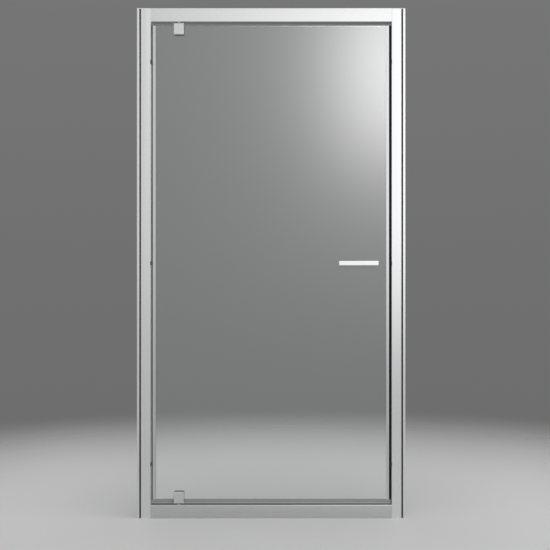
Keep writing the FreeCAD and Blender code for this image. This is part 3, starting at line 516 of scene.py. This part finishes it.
def stand_in(name: str, mesh: bpy.types.Mesh, finish: Finish, body: Body) -> bpy.types.Object:
    """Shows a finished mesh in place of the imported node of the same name.

    Args:
        name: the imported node.
        mesh: what is shown for it.
        finish: what it is finished with.
        body: the body that carries it.

    Returns:
        The new piece.
    """
    paint(mesh, finish.material())
    item = placed(f"{name}_shown", mesh)
    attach(item, body.value)
    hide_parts(name)
    LOG.info("%s stands in for %s", item.name, name)
    return item


def baked(item: bpy.types.Object) -> bpy.types.Mesh:
    """Turns an object with modifiers into a plain mesh and removes the object."""
    graph = bpy.context.evaluated_depsgraph_get()
    mesh = bpy.data.meshes.new_from_object(item.evaluated_get(graph), depsgraph=graph)
    item.modifiers.clear()
    bpy.data.objects.remove(item)
    return mesh


def mesh_of(shape: bmesh.types.BMesh, name: str) -> bpy.types.Mesh:
    """Turns a shape that is being worked on into a mesh, and frees the shape."""
    mesh = bpy.data.meshes.new(name)
    shape.to_mesh(mesh)
    shape.free()
    return mesh


def creased(mesh: bpy.types.Mesh) -> bpy.types.Mesh:
    """Shades a mesh smooth up to its creases, and returns it."""
    mesh.shade_smooth()
    mesh.set_sharp_from_angle(angle=CREASE)
    return mesh


def whole(name: str) -> bmesh.types.BMesh:
    """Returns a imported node's shape with its triangles joined into whole faces."""
    shape = bmesh.new()
    shape.from_mesh(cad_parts[name].data)
    bmesh.ops.remove_doubles(shape, verts=shape.verts, dist=WELD)
    bmesh.ops.dissolve_limit(shape, angle_limit=FLAT, verts=shape.verts, edges=shape.edges)
    return shape


def solids_of(name: str) -> list[Corners]:
    """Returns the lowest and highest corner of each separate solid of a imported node, in a fixed order."""
    shape = whole(name)
    left = set(shape.verts)
    boxes = []
    while left:
        reached = [left.pop()]
        for vertex in reached:
            near = {edge.other_vert(vertex) for edge in vertex.link_edges} & left
            reached.extend(near)
            left -= near
        spots = [vertex.co for vertex in reached]
        boxes.append((
            Vector(min(spot[axis.value] for spot in spots) for axis in Axis),
            Vector(max(spot[axis.value] for spot in spots) for axis in Axis),
        ))
    shape.free()
    return sorted(boxes, key=lambda box: tuple(box[0]))


def eased(name: str, finish: Finish, body: Body, width: float) -> bpy.types.Object:
    """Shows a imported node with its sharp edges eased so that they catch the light.

    Args:
        name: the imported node.
        finish: what it is finished with.
        body: the body that carries it.
        width: how far each edge is eased.

    Returns:
        The new piece.
    """
    mesh = mesh_of(whole(name), name)
    mesh.shade_smooth()
    item = placed(name, mesh)
    bevel = item.modifiers.new("ease", "BEVEL")
    bevel.width = width
    bevel.segments = EASE_STEPS
    bevel.limit_method = "ANGLE"
    bevel.angle_limit = CREASE
    bevel.use_clamp_overlap = True
    weighted = item.modifiers.new("weigh", "WEIGHTED_NORMAL")
    weighted.weight = FACE_WEIGHT
    return stand_in(name, baked(item), finish, body)


def rounded(name: str, finish: Finish, along: Axis, radius: float) -> bpy.types.Object:
    """Shows a profile of the frame with its long outer edges rounded, as a die leaves them.

    Args:
        name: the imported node.
        finish: what it is finished with.
        along: the way the profile runs.
        radius: the round of its edges.

    Returns:
        The new piece.
    """
    shape = whole(name)
    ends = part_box(name)
    sides = [axis.value for axis in Axis if axis is not along]

    def outer(vertex: bmesh.types.BMVert) -> bool:
        """Tells whether a corner lies on an outer edge of the profile."""
        return all(min(abs(vertex.co[side] - end[side]) for end in ends) < ON_BOX for side in sides)

    edges = [edge for edge in shape.edges if all(outer(vertex) for vertex in edge.verts)]
    edges = [edge for edge in edges if abs((edge.verts[0].co - edge.verts[1].co)[along.value]) > ON_BOX]
    bmesh.ops.bevel(
        shape, geom=edges, offset=radius, offset_type="OFFSET", segments=ROUND_STEPS, profile=ROUND_PROFILE,
        affect="EDGES", clamp_overlap=True)
    return stand_in(name, creased(mesh_of(shape, name)), finish, Body.FRAME)


class Sower(Wiring):
    """A Geometry Nodes tree that sets one shape at each point of a mesh.

    Attributes:
        NAME: what the tree is called.
        LENGTHS: its inputs that are lengths, in their order.
    """

    NAME: str
    LENGTHS: tuple[str, ...]

    def __init__(self) -> None:
        """Makes the tree with its named inputs and fills it with the shape."""
        super().__init__(bpy.data.node_groups.new(self.NAME, "GeometryNodeTree"))
        sockets = self.tree.interface
        sockets.new_socket("Geometry", in_out="INPUT", socket_type="NodeSocketGeometry")
        for name in self.LENGTHS:
            sockets.new_socket(name, in_out="INPUT", socket_type="NodeSocketFloat")
        sockets.new_socket("Turn", in_out="INPUT", socket_type="NodeSocketRotation")
        sockets.new_socket("Material", in_out="INPUT", socket_type="NodeSocketMaterial")
        sockets.new_socket("Geometry", in_out="OUTPUT", socket_type="NodeSocketGeometry")
        self.given = self.add("NodeGroupInput").outputs
        sown = self.add("GeometryNodeInstanceOnPoints")
        self.put(sown.inputs["Points"], self.given["Geometry"])
        self.put(sown.inputs["Instance"], self.shape())
        self.put(sown.inputs["Rotation"], self.given["Turn"])
        real = self.add("GeometryNodeRealizeInstances")
        self.put(real.inputs["Geometry"], sown.outputs["Instances"])
        painted = self.add("GeometryNodeSetMaterial")
        self.put(painted.inputs["Geometry"], real.outputs["Geometry"])
        self.put(painted.inputs["Material"], self.given["Material"])
        self.put(self.add("NodeGroupOutput").inputs["Geometry"], painted.outputs["Geometry"])

    def shape(self) -> Socket:
        """Makes the shape that is set at each point."""
        raise NotImplementedError

    def bake(self, name: str, seats: list[Vector], sizes: tuple[float, ...], facing: Facing,
             finish: Finish) -> bpy.types.Mesh:
        """Sows the shape and turns the result into a plain mesh.

        Args:
            name: what the mesh is called.
            seats: the points.
            sizes: the tree's lengths, in their order.
            facing: where the shape's Z points.
            finish: what the shape is finished with.

        Returns:
            The mesh, smooth up to its creases.
        """
        cloud = bpy.data.meshes.new(name)
        cloud.from_pydata(seats, [], [])
        item = placed(name, cloud)
        modifier = item.modifiers.new(name, "NODES")
        modifier.node_group = self.tree
        values = dict(zip(self.LENGTHS, sizes))
        values["Turn"] = Vector(facing.value).to_track_quat("Z", "Y").to_euler()
        values["Material"] = finish.material()
        for socket in self.tree.interface.items_tree:
            if socket.name in values:
                modifier[socket.identifier] = values[socket.name]
        return creased(baked(item))


class Fastener(Sower):
    """A threaded fastener with a hexagon socket.

    It is made on Z, with its bearing face at zero, its head above and its shank below.

    Attributes:
        ROUND: how many sides the head and the shank have.
        THREAD_ROUND: how many steps the thread takes in one turn.
        RIDGE_SIDES: how many sides the thread's ridge has.
        KEY_SIDES: how many sides the socket has.
        CROWN: the share of the head's height that its crowned edge takes.
        CROWN_INSET: how far the crown draws in, as a share of the head's radius.
    """

    NAME = "threaded_fasteners"
    ROUND = 28
    THREAD_ROUND = 14
    RIDGE_SIDES = 4
    KEY_SIDES = 6
    CROWN = 0.24
    CROWN_INSET = 0.13
    LENGTHS = ("Shank Radius", "Shank Length", "Head Radius", "Head Height", "Key Radius", "Key Depth",
               "Thread Pitch", "Thread Depth")

    def shape(self) -> Socket:
        """Makes the whole fastener."""
        parts = self.add("GeometryNodeJoinGeometry")
        for part in (self.shank(), self.thread(), self.head()):
            self.put(parts.inputs["Geometry"], part)
        return parts.outputs["Geometry"]

    def moved(self, part: Socket, height: Socket) -> Socket:
        """Moves a part along Z and returns it."""
        offset = self.add("ShaderNodeCombineXYZ")
        self.put(offset.inputs["Z"], height)
        node = self.add("GeometryNodeTransform")
        self.put(node.inputs["Geometry"], part)
        self.put(node.inputs["Translation"], offset.outputs["Vector"])
        return node.outputs["Geometry"]

    def lowered(self, part: Socket, depth: Socket) -> Socket:
        """Moves a part down Z and returns it."""
        return self.moved(part, self.math("MULTIPLY", depth, -1.0))

    def cone(self, sides: int, low: Socket, high: Socket, height: Socket) -> Socket:
        """Makes a closed cone or cylinder that stands on zero, and returns it."""
        node = self.add("GeometryNodeMeshCone")
        self.put(node.inputs["Vertices"], sides)
        self.put(node.inputs["Radius Bottom"], low)
        self.put(node.inputs["Radius Top"], high)
        self.put(node.inputs["Depth"], height)
        return node.outputs["Mesh"]

    def shank(self) -> Socket:
        """Makes the core that the thread winds round, with its tapered point."""
        core = self.math("SUBTRACT", self.given["Shank Radius"], self.given["Thread Depth"])
        tip = self.math("SUBTRACT", core, self.given["Thread Depth"])
        straight = self.math("SUBTRACT", self.given["Shank Length"], self.given["Thread Pitch"])
        point = self.cone(self.ROUND, tip, core, self.given["Thread Pitch"])
        rod = self.cone(self.ROUND, core, core, straight)
        both = self.add("GeometryNodeJoinGeometry")
        self.put(both.inputs["Geometry"], self.lowered(point, self.given["Shank Length"]))
        self.put(both.inputs["Geometry"], self.lowered(rod, straight))
        return both.outputs["Geometry"]

    def thread(self) -> Socket:
        """Makes the ridge that winds up the shank."""
        length = self.math("SUBTRACT", self.given["Shank Length"], self.given["Thread Pitch"])
        root = self.math("SUBTRACT", self.given["Shank Radius"], self.given["Thread Depth"])
        helix = self.add("GeometryNodeCurveSpiral")
        self.put(helix.inputs["Resolution"], self.THREAD_ROUND)
        self.put(helix.inputs["Rotations"], self.math("DIVIDE", length, self.given["Thread Pitch"]))
        self.put(helix.inputs["Start Radius"], root)
        self.put(helix.inputs["End Radius"], root)
        self.put(helix.inputs["Height"], length)
        ridge = self.add("GeometryNodeCurvePrimitiveCircle")
        self.put(ridge.inputs["Resolution"], self.RIDGE_SIDES)
        self.put(ridge.inputs["Radius"], self.given["Thread Depth"])
        swept = self.add("GeometryNodeCurveToMesh")
        self.put(swept.inputs["Curve"], helix.outputs["Curve"])
        self.put(swept.inputs["Profile Curve"], ridge.outputs["Curve"])
        self.put(swept.inputs["Fill Caps"], True)
        return self.lowered(swept.outputs["Mesh"], length)

    def head(self) -> Socket:
        """Makes the round head with its crowned edge and its hexagon socket."""
        radius, height = self.given["Head Radius"], self.given["Head Height"]
        barrel_height = self.math("MULTIPLY", height, 1.0 - self.CROWN)
        crown_height = self.math("MULTIPLY", height, self.CROWN)
        top = self.math("MULTIPLY", radius, 1.0 - self.CROWN_INSET)
        barrel = self.cone(self.ROUND, radius, radius, barrel_height)
        crown = self.cone(self.ROUND, radius, top, crown_height)
        solid = self.add("GeometryNodeMeshBoolean", operation="UNION", solver="EXACT")
        self.put(solid.inputs["Mesh 2"], barrel)
        self.put(solid.inputs["Mesh 2"], self.moved(crown, barrel_height))
        key = self.cone(self.KEY_SIDES, self.given["Key Radius"], self.given["Key Radius"], height)
        key_floor = self.math("SUBTRACT", height, self.given["Key Depth"])
        cut = self.add("GeometryNodeMeshBoolean", operation="DIFFERENCE", solver="EXACT")
        self.put(cut.inputs["Mesh 1"], solid.outputs["Mesh"])
        self.put(cut.inputs["Mesh 2"], self.moved(key, key_floor))
        return cut.outputs["Mesh"]


class Ring(Sower):
    """A turned ring on Z with softened edges, its middle at zero.

    Attributes:
        ROUND: how many sides it has.
        EDGE_STEPS: how many steps round off each edge.
    """

    NAME = "turned_rings"
    ROUND = 40
    EDGE_STEPS = 3
    LENGTHS = ("Outer Radius", "Bore Radius", "Thickness", "Edge Round")

    def shape(self) -> Socket:
        """Sweeps the ring's section round a circle."""
        outer, bore = self.given["Outer Radius"], self.given["Bore Radius"]
        path = self.add("GeometryNodeCurvePrimitiveCircle")
        self.put(path.inputs["Resolution"], self.ROUND)
        self.put(path.inputs["Radius"], self.math("DIVIDE", self.math("ADD", outer, bore), 2.0))
        section = self.add("GeometryNodeCurvePrimitiveQuadrilateral")
        self.put(section.inputs["Width"], self.math("SUBTRACT", outer, bore))
        self.put(section.inputs["Height"], self.given["Thickness"])
        soft = self.add("GeometryNodeFilletCurve", mode="POLY")
        self.put(soft.inputs["Count"], self.EDGE_STEPS)
        self.put(soft.inputs["Curve"], section.outputs["Curve"])
        self.put(soft.inputs["Radius"], self.given["Edge Round"])
        swept = self.add("GeometryNodeCurveToMesh")
        self.put(swept.inputs["Curve"], path.outputs["Curve"])
        self.put(swept.inputs["Profile Curve"], soft.outputs["Curve"])
        return swept.outputs["Mesh"]


@dataclass(frozen=True)
class RingSet:
    """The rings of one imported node, all alike.

    Attributes:
        node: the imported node.
        body: the body that carries them.
        facing: which way their axis points.
        bore: the diameter of their bore.
        finish: what they are finished with.
        edge: the round of their edges.
    """

    node: str
    body: Body
    facing: Facing
    bore: float
    finish: Finish
    edge: float = 0.0002

    def build(self, tree: Ring) -> bpy.types.Object:
        """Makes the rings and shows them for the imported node.

        Args:
            tree: the Geometry Nodes tree that makes them.

        Returns:
            The new piece.
        """
        seats = []
        for low, high in solids_of(self.node):
            seats.append((low + high) / 2)
            thickness, width = self.facing.span(low, high)
        sizes = (width / 2, self.bore / 2, thickness, self.edge)
        mesh = tree.bake(self.node, seats, sizes, self.facing, self.finish)
        return stand_in(self.node, mesh, self.finish, self.body)


@dataclass(frozen=True)
class ScrewSize:
    """What a packed screw's outline doesn't give.

    Attributes:
        shank: the diameter over the thread.
        head_height: how high the head is.
        key: the hexagon socket, across its flats.
        pitch: how far the thread rises in one turn.
        thread: how deep the thread is.
        key_share: how far down the head the socket goes.
    """

    shank: float
    head_height: float
    key: float
    pitch: float
    thread: float = 0.0003
    key_share: float = 0.5


@dataclass(frozen=True)
class ScrewSet:
    """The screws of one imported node, all alike.

    Attributes:
        node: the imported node.
        body: the body that carries them.
        facing: which way their heads face.
        size: their sizes.
    """

    node: str
    body: Body
    facing: Facing
    size: ScrewSize

    def build(self, tree: Fastener) -> bpy.types.Object:
        """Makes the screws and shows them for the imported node.

        Args:
            tree: the Geometry Nodes tree that makes them.

        Returns:
            The new piece.
        """
        size = self.size
        seats = []
        for low, high in solids_of(self.node):
            length, width = self.facing.span(low, high)
            seats.append((low + high) / 2 + Vector(self.facing.value) * (length / 2 - size.head_height))
        sizes = (size.shank / 2, length - size.head_height, width / 2, size.head_height,
                 size.key / math.sqrt(3), size.head_height * size.key_share, size.pitch, size.thread)
        mesh = tree.bake(self.node, seats, sizes, self.facing, STEEL)
        return stand_in(self.node, mesh, STEEL, self.body)


@dataclass
class OuterFrame:
    """The fixed frame: wall profiles, jambs, rails and what is let into them.

    Attributes:
        sides: its two sides, as the nodes' names give them.
        ease: how far the edges of the small mouldings are eased.
        edge: the round of the profiles' long outer edges.
    """

    sides: tuple[str, str] = ("left", "right")
    ease: float = 0.0004
    edge: float = 0.0008

    def build(self) -> None:
        """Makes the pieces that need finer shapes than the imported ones."""
        rounded("head_rail", SILVER_LEVEL, Axis.X, self.edge)
        # The sill rail wears the darker copy of the silver, which is painted shade.
        rounded("sill_rail", SILVER_SILL_SHADED, Axis.X, self.edge)
        for side in self.sides:
            rounded(f"jamb_{side}", SILVER, Axis.Z, self.edge)
            rounded(f"wall_profile_{side}", SILVER, Axis.Z, self.edge)
            eased(f"jamb_cap_{side}", CAP, Body.FRAME, self.ease)
            eased(f"screw_covers_{side}", COVER, Body.FRAME, self.ease)

    def dress(self) -> None:
        """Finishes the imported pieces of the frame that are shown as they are."""
        for side in self.sides:
            # Painted shade: the black rubber strips are dark things put in the shadow grooves, where there
            # would otherwise only be shade.
            dress(RUBBER, f"wall_seal_{side}")
            dress(ZINC, f"adjuster_blocks_{side}")
        dress(MAGNET, "jamb_magnet_holder", "jamb_magnet")
        dress(NYLON, "head_pivot_housing", "sill_pivot_housing")
        dress(ACETAL, "head_pivot_bush", "sill_pivot_bush")


@dataclass
class GlassLeaf:
    """The glass, and the strips along its edges.

    Attributes:
        pane: the glass.
        drips: the seals along its bottom edge.
        shade_tip_height: how high the seals' tips are painted dark, as painted shade.
    """

    pane: str = "door_glass"
    drips: tuple[str, str] = ("drip_seal_hinge_side", "drip_seal_strike_side")
    shade_tip_height: float = 0.0015

    def dress(self) -> None:
        """Finishes the glass and its strips."""
        dress_with(GLASS.material(*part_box(self.pane)), self.pane)
        dress(SILVER_TRIM, "hinge_edge_clip", "strike_edge_clip")
        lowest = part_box(self.drips[0])[0]
        # The seals' tips are painted dark up to this height: painted shade that the sill mirrors as a
        # shadow line.
        dress(replace(SEAL, shade_tip_top=lowest[Axis.Z.value] + self.shade_tip_height), *self.drips)
        dress(LIP, "hinge_edge_lip")
        dress(MAGNET, "strike_edge_magnet")


@dataclass
class PivotSet:
    """The clamp and pin at one end of the leaf.

    Attributes:
        end: which end, as the nodes' names give it.
        ease: how far the edges of the clamp halves are eased.
    """

    end: str
    ease: float = 0.0004

    def build(self) -> None:
        """Makes the clamp halves with eased edges."""
        for face in ("outer", "inner"):
            eased(f"{self.end}_pivot_{face}_block", SATIN, Body.DOOR, self.ease)

    def dress(self) -> None:
        """Finishes the gaskets and the pin."""
        dress(RUBBER, f"{self.end}_pivot_outer_gasket", f"{self.end}_pivot_inner_gasket")
        dress(PIN, f"{self.end}_pivot_pin")


@dataclass
class PullHandle:
    """The pair of bars through the glass.

    Attributes:
        faces: the two faces of the glass, as the nodes' names give them.
        ease: how far the edges of the bars and posts are eased.
    """

    faces: tuple[str, str] = ("outer", "inner")
    ease: float = 0.0004

    def build(self) -> None:
        """Makes the bars and posts with eased edges."""
        for face in self.faces:
            eased(f"handle_{face}_bar", CHROME, Body.DOOR, self.ease)
            eased(f"handle_{face}_posts", CHROME, Body.DOOR, self.ease)

    def dress(self) -> None:
        """Finishes the studs between the posts."""
        dress(STEEL, "handle_studs")


STUD_BORE = 0.0061
CLAMP_BORE = 0.0054
PIN_BORE = 0.0084
CORNER_SCREW = ScrewSize(shank=0.0039, head_height=0.0024, key=0.0025, pitch=0.0014)
ADJUSTER_SCREW = ScrewSize(shank=0.0040, head_height=0.0022, key=0.0025, pitch=0.0010)
HOUSING_SCREW = ScrewSize(shank=0.0040, head_height=0.0020, key=0.0025, pitch=0.0014)
CLAMP_SCREW = ScrewSize(shank=0.0050, head_height=0.0050, key=0.0040, pitch=0.0008)


@dataclass
class Fixings:
    """Every set of rings and of screws, each kind made by one Geometry Nodes tree."""

    rings: tuple[RingSet, ...] = (
        RingSet("handle_outer_gaskets", Body.DOOR, Facing.OUTWARDS, STUD_BORE, RUBBER),
        RingSet("handle_inner_gaskets", Body.DOOR, Facing.INWARDS, STUD_BORE, RUBBER),
        RingSet("handle_sleeves", Body.DOOR, Facing.INWARDS, STUD_BORE, ACETAL),
        RingSet("top_clamp_sleeves", Body.DOOR, Facing.INWARDS, CLAMP_BORE, ACETAL),
        RingSet("bottom_clamp_sleeves", Body.DOOR, Facing.INWARDS, CLAMP_BORE, ACETAL),
        RingSet("head_pivot_washer", Body.DOOR, Facing.UP, PIN_BORE, ACETAL),
        RingSet("sill_pivot_washer", Body.FRAME, Facing.UP, PIN_BORE, ACETAL),
    )
    screws: tuple[ScrewSet, ...] = (
        ScrewSet("corner_screws_left", Body.FRAME, Facing.LEFT, CORNER_SCREW),
        ScrewSet("corner_screws_right", Body.FRAME, Facing.RIGHT, CORNER_SCREW),
        ScrewSet("adjuster_screws_left", Body.FRAME, Facing.RIGHT, ADJUSTER_SCREW),
        ScrewSet("adjuster_screws_right", Body.FRAME, Facing.LEFT, ADJUSTER_SCREW),
        ScrewSet("head_housing_screws", Body.FRAME, Facing.DOWN, HOUSING_SCREW),
        ScrewSet("sill_housing_screws", Body.FRAME, Facing.UP, HOUSING_SCREW),
        ScrewSet("top_clamp_screws", Body.DOOR, Facing.INWARDS, CLAMP_SCREW),
        ScrewSet("bottom_clamp_screws", Body.DOOR, Facing.INWARDS, CLAMP_SCREW),
    )

    def build(self) -> None:
        """Makes all the rings and screws."""
        for tree, sets in ((Ring(), self.rings), (Fastener(), self.screws)):
            for each in sets:
                each.build(tree)


@dataclass(frozen=True)
class SoftBox:
    """A rectangular lamp whose light fades towards its edges.

    Attributes:
        name: what it is called.
        place: where its middle hangs.
        aim: what it faces.
        size: its width and height.
        radiance: how bright its face is.
        across: the shares of its width where its light has risen and where it starts to fall.
        upward: the same shares of its height.
        only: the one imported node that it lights, or nothing where it lights all.
    """

    name: str
    place: Place
    aim: Place
    size: Span
    radiance: float
    across: Span = (0.3, 0.7)
    upward: Span = (0.3, 0.7)
    only: str = ""


WALL_OF_LIGHT = SoftBox(
    "wall_of_light", place=(0.8, -4.4, 2.0), aim=(0.8, 0.0, 2.0), size=(6.0, 4.4), radiance=0.84,
    across=(0.62, 0.9), upward=(0.36, 0.9))
FILM_LIGHT = SoftBox(
    "film_light", place=(0.76, -4.3, 2.46), aim=(0.76, 0.0, 2.46), size=(1.1, 2.0), radiance=350.0,
    across=(0.5, 0.8), upward=(0.5, 0.8), only="door_glass")
OVERHEAD = SoftBox(
    "overhead", place=(1.2, -0.8, 4.2), aim=(0.3, 0.0, 1.0), size=(3.0, 2.4), radiance=2.2)
SIDE = SoftBox("side", place=(3.4, -0.9, 1.7), aim=(0.0, 0.0, 1.2), size=(2.6, 2.6), radiance=1.3)
FILL = SoftBox("fill", place=(-3.4, 0.4, 1.7), aim=(0.0, 0.0, 1.2), size=(2.6, 2.6), radiance=0.7)
BACK_LEFT = SoftBox(
    "back_left", place=(-2.3, 3.2, 1.4), aim=(0.0, 0.0, 1.4), size=(2.4, 2.8), radiance=1.2,
    across=(0.2, 0.8), upward=(0.1, 0.7))
BACK_RIGHT = replace(BACK_LEFT, name="back_right", place=(2.3, 3.2, 1.4))
LEVEL_VIEW = (math.radians(90), 0.0, 0.0)


@dataclass
class Studio:
    """The floor, the light and the camera.

    Attributes:
        picture: the picture's width and height, in pixels.
        scale: how much of the door's front one pixel spans.
        sight_x: the pixel that the camera looks straight at, from the left.
        sight_y: the same pixel, from the top.
        eye: where the camera stands.
        front: where the door's front is along Y.
        sensor: the width of the camera's sensor, in millimetres.
        floor_radius: how far the floor reaches.
        floor_sides: how many sides its rim has.
        floor_colour: its colour.
        floor_roughness: how matt it is.
        floor_fade: how far from the door it starts to fade, and where it is gone.
        dome: shares of the dome's height, and how bright it is at each.
        behind: how far towards the back, as the Y of a direction, the dome starts to darken and is darkest.
        backdrop: the share of its light that the dome keeps there.
        lamps: the lamps round the door.
    """

    picture: float = 550.0
    scale: float = 0.003724
    sight_x: float = 318.0
    sight_y: float = 274.0
    eye: Place = (0.1745, -3.618, 0.910)
    front: float = -0.018
    sensor: float = 36.0
    floor_radius: float = 7.0
    floor_sides: int = 96
    floor_colour: Colour = (0.66, 0.66, 0.66)
    floor_roughness: float = 0.6
    floor_fade: Span = (0.9, 3.0)
    dome: tuple[Span, ...] = ((0.0, 0.40), (0.31, 0.50), (0.5, 0.54), (0.69, 0.60), (1.0, 0.80))
    behind: Span = (-0.3, 0.6)
    backdrop: float = 0.30
    lamps: tuple[SoftBox, ...] = (WALL_OF_LIGHT, FILM_LIGHT, OVERHEAD, SIDE, FILL, BACK_LEFT, BACK_RIGHT)

    def shoot_from(self) -> None:
        """Places the camera at the photograph's viewpoint."""
        data = bpy.data.cameras.new("camera")
        camera = placed("camera", data)
        distance = self.front - self.eye[Axis.Y.value]
        data.sensor_width = self.sensor
        data.lens = self.sensor * distance / (self.picture * self.scale)
        data.shift_x = (self.picture / 2 - self.sight_x) / self.picture
        data.shift_y = (self.sight_y - self.picture / 2) / self.picture
        camera.location = self.eye
        camera.rotation_euler = LEVEL_VIEW
        bpy.context.scene.camera = camera

    def surround(self) -> None:
        """Lights the studio with a pale dome that is darker towards the ground and behind the door."""
        world = bpy.data.worlds.new("dome")
        bpy.context.scene.world = world
        world.use_nodes = True
        wiring = Wiring(world.node_tree)
        way = wiring.parts(wiring.add("ShaderNodeTexCoord").outputs["Generated"])
        ramp = wiring.add("ShaderNodeValToRGB")
        wiring.put(ramp.inputs["Fac"], wiring.remap(way["Z"], -1.0, 1.0, 0.0, 1.0))
        stops = ramp.color_ramp.elements
        while len(stops) < len(self.dome):
            stops.new(MIDDLE)
        for stop, (height, level) in zip(stops, self.dome):
            stop.position = height
            stop.color = (level, level, level, 1.0)
        background = world.node_tree.nodes["Background"]
        wiring.put(background.inputs["Color"], ramp.outputs["Color"])
        wiring.put(background.inputs["Strength"], wiring.remap(way["Y"], *self.behind, 1.0, self.backdrop))

    def hang(self, box: SoftBox) -> None:
        """Hangs one lamp.

        Args:
            box: the lamp.
        """
        data = bpy.data.lights.new(box.name, "AREA")
        data.shape = "RECTANGLE"
        data.size, data.size_y = box.size
        data.energy = box.radiance * math.pi * box.size[0] * box.size[1]
        data.use_nodes = True
        wiring = Wiring(data.node_tree)
        spot = wiring.parts(wiring.add("ShaderNodeNewGeometry").outputs["Parametric"])
        shares = []
        for axis, (risen, falling) in ((Axis.X, box.across), (Axis.Y, box.upward)):
            rise = wiring.remap(spot[axis.value], 0.0, risen, 0.0, 1.0)
            fall = wiring.remap(spot[axis.value], falling, 1.0, 1.0, 0.0)
            shares.append(wiring.math("MULTIPLY", rise, fall))
        wiring.put(data.node_tree.nodes["Emission"].inputs["Strength"], wiring.math("MULTIPLY", *shares))
        lamp = placed(box.name, data)
        lamp.location = box.place
        lamp.rotation_euler = (Vector(box.aim) - Vector(box.place)).to_track_quat("-Z", "Y").to_euler()
        lamp.visible_camera = False
        lamp.visible_transmission = False
        if box.only:
            self.keep_for(lamp, box.only)

    def keep_for(self, lamp: bpy.types.Object, node: str) -> None:
        """Keeps a lamp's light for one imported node, where it shows as a sheen with no mirror image.

        Args:
            lamp: the lamp.
            node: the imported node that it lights.
        """
        lit = bpy.data.collections.new(f"lit_by_{lamp.name}")
        lit.objects.link(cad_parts[node])
        lamp.light_linking.receiver_collection = lit
        lamp.data.cycles.use_multiple_importance_sampling = False
        lamp.data.cycles.max_bounces = 0

    def floor(self) -> None:
        """Lays a pale round floor that fades into the dome."""
        shape = bmesh.new()
        bmesh.ops.create_circle(shape, cap_ends=True, segments=self.floor_sides, radius=self.floor_radius)
        mesh = mesh_of(shape, "floor")
        floor = placed("floor", mesh)
        made, wiring, shader = blank("floor")
        wiring.put(shader.inputs["Base Color"], self.floor_colour)
        wiring.put(shader.inputs["Roughness"], self.floor_roughness)
        reach = wiring.add("ShaderNodeVectorMath", operation="LENGTH")
        wiring.put(reach.inputs[0], wiring.stretched(Run.EVEN.value))
        wiring.let_through(shader, wiring.remap(reach.outputs["Value"], *self.floor_fade, 0.0, 1.0))
        paint(mesh, made)

    def build(self) -> None:
        """Sets up the whole studio."""
        self.shoot_from()
        self.surround()
        self.floor()
        for box in self.lamps:
            self.hang(box)
        bpy.context.scene.view_settings.view_transform = "Standard"


def main() -> None:
    """Dresses the door and sets up the studio."""
    logging.basicConfig(level=logging.INFO, format="%(name)s: %(message)s")
    for assembly in (OuterFrame(), PullHandle(), PivotSet("top"), PivotSet("bottom")):
        assembly.build()
        assembly.dress()
    Fixings().build()
    GlassLeaf().dress()
    Studio().build()


if __name__ == "__main__":
    main()
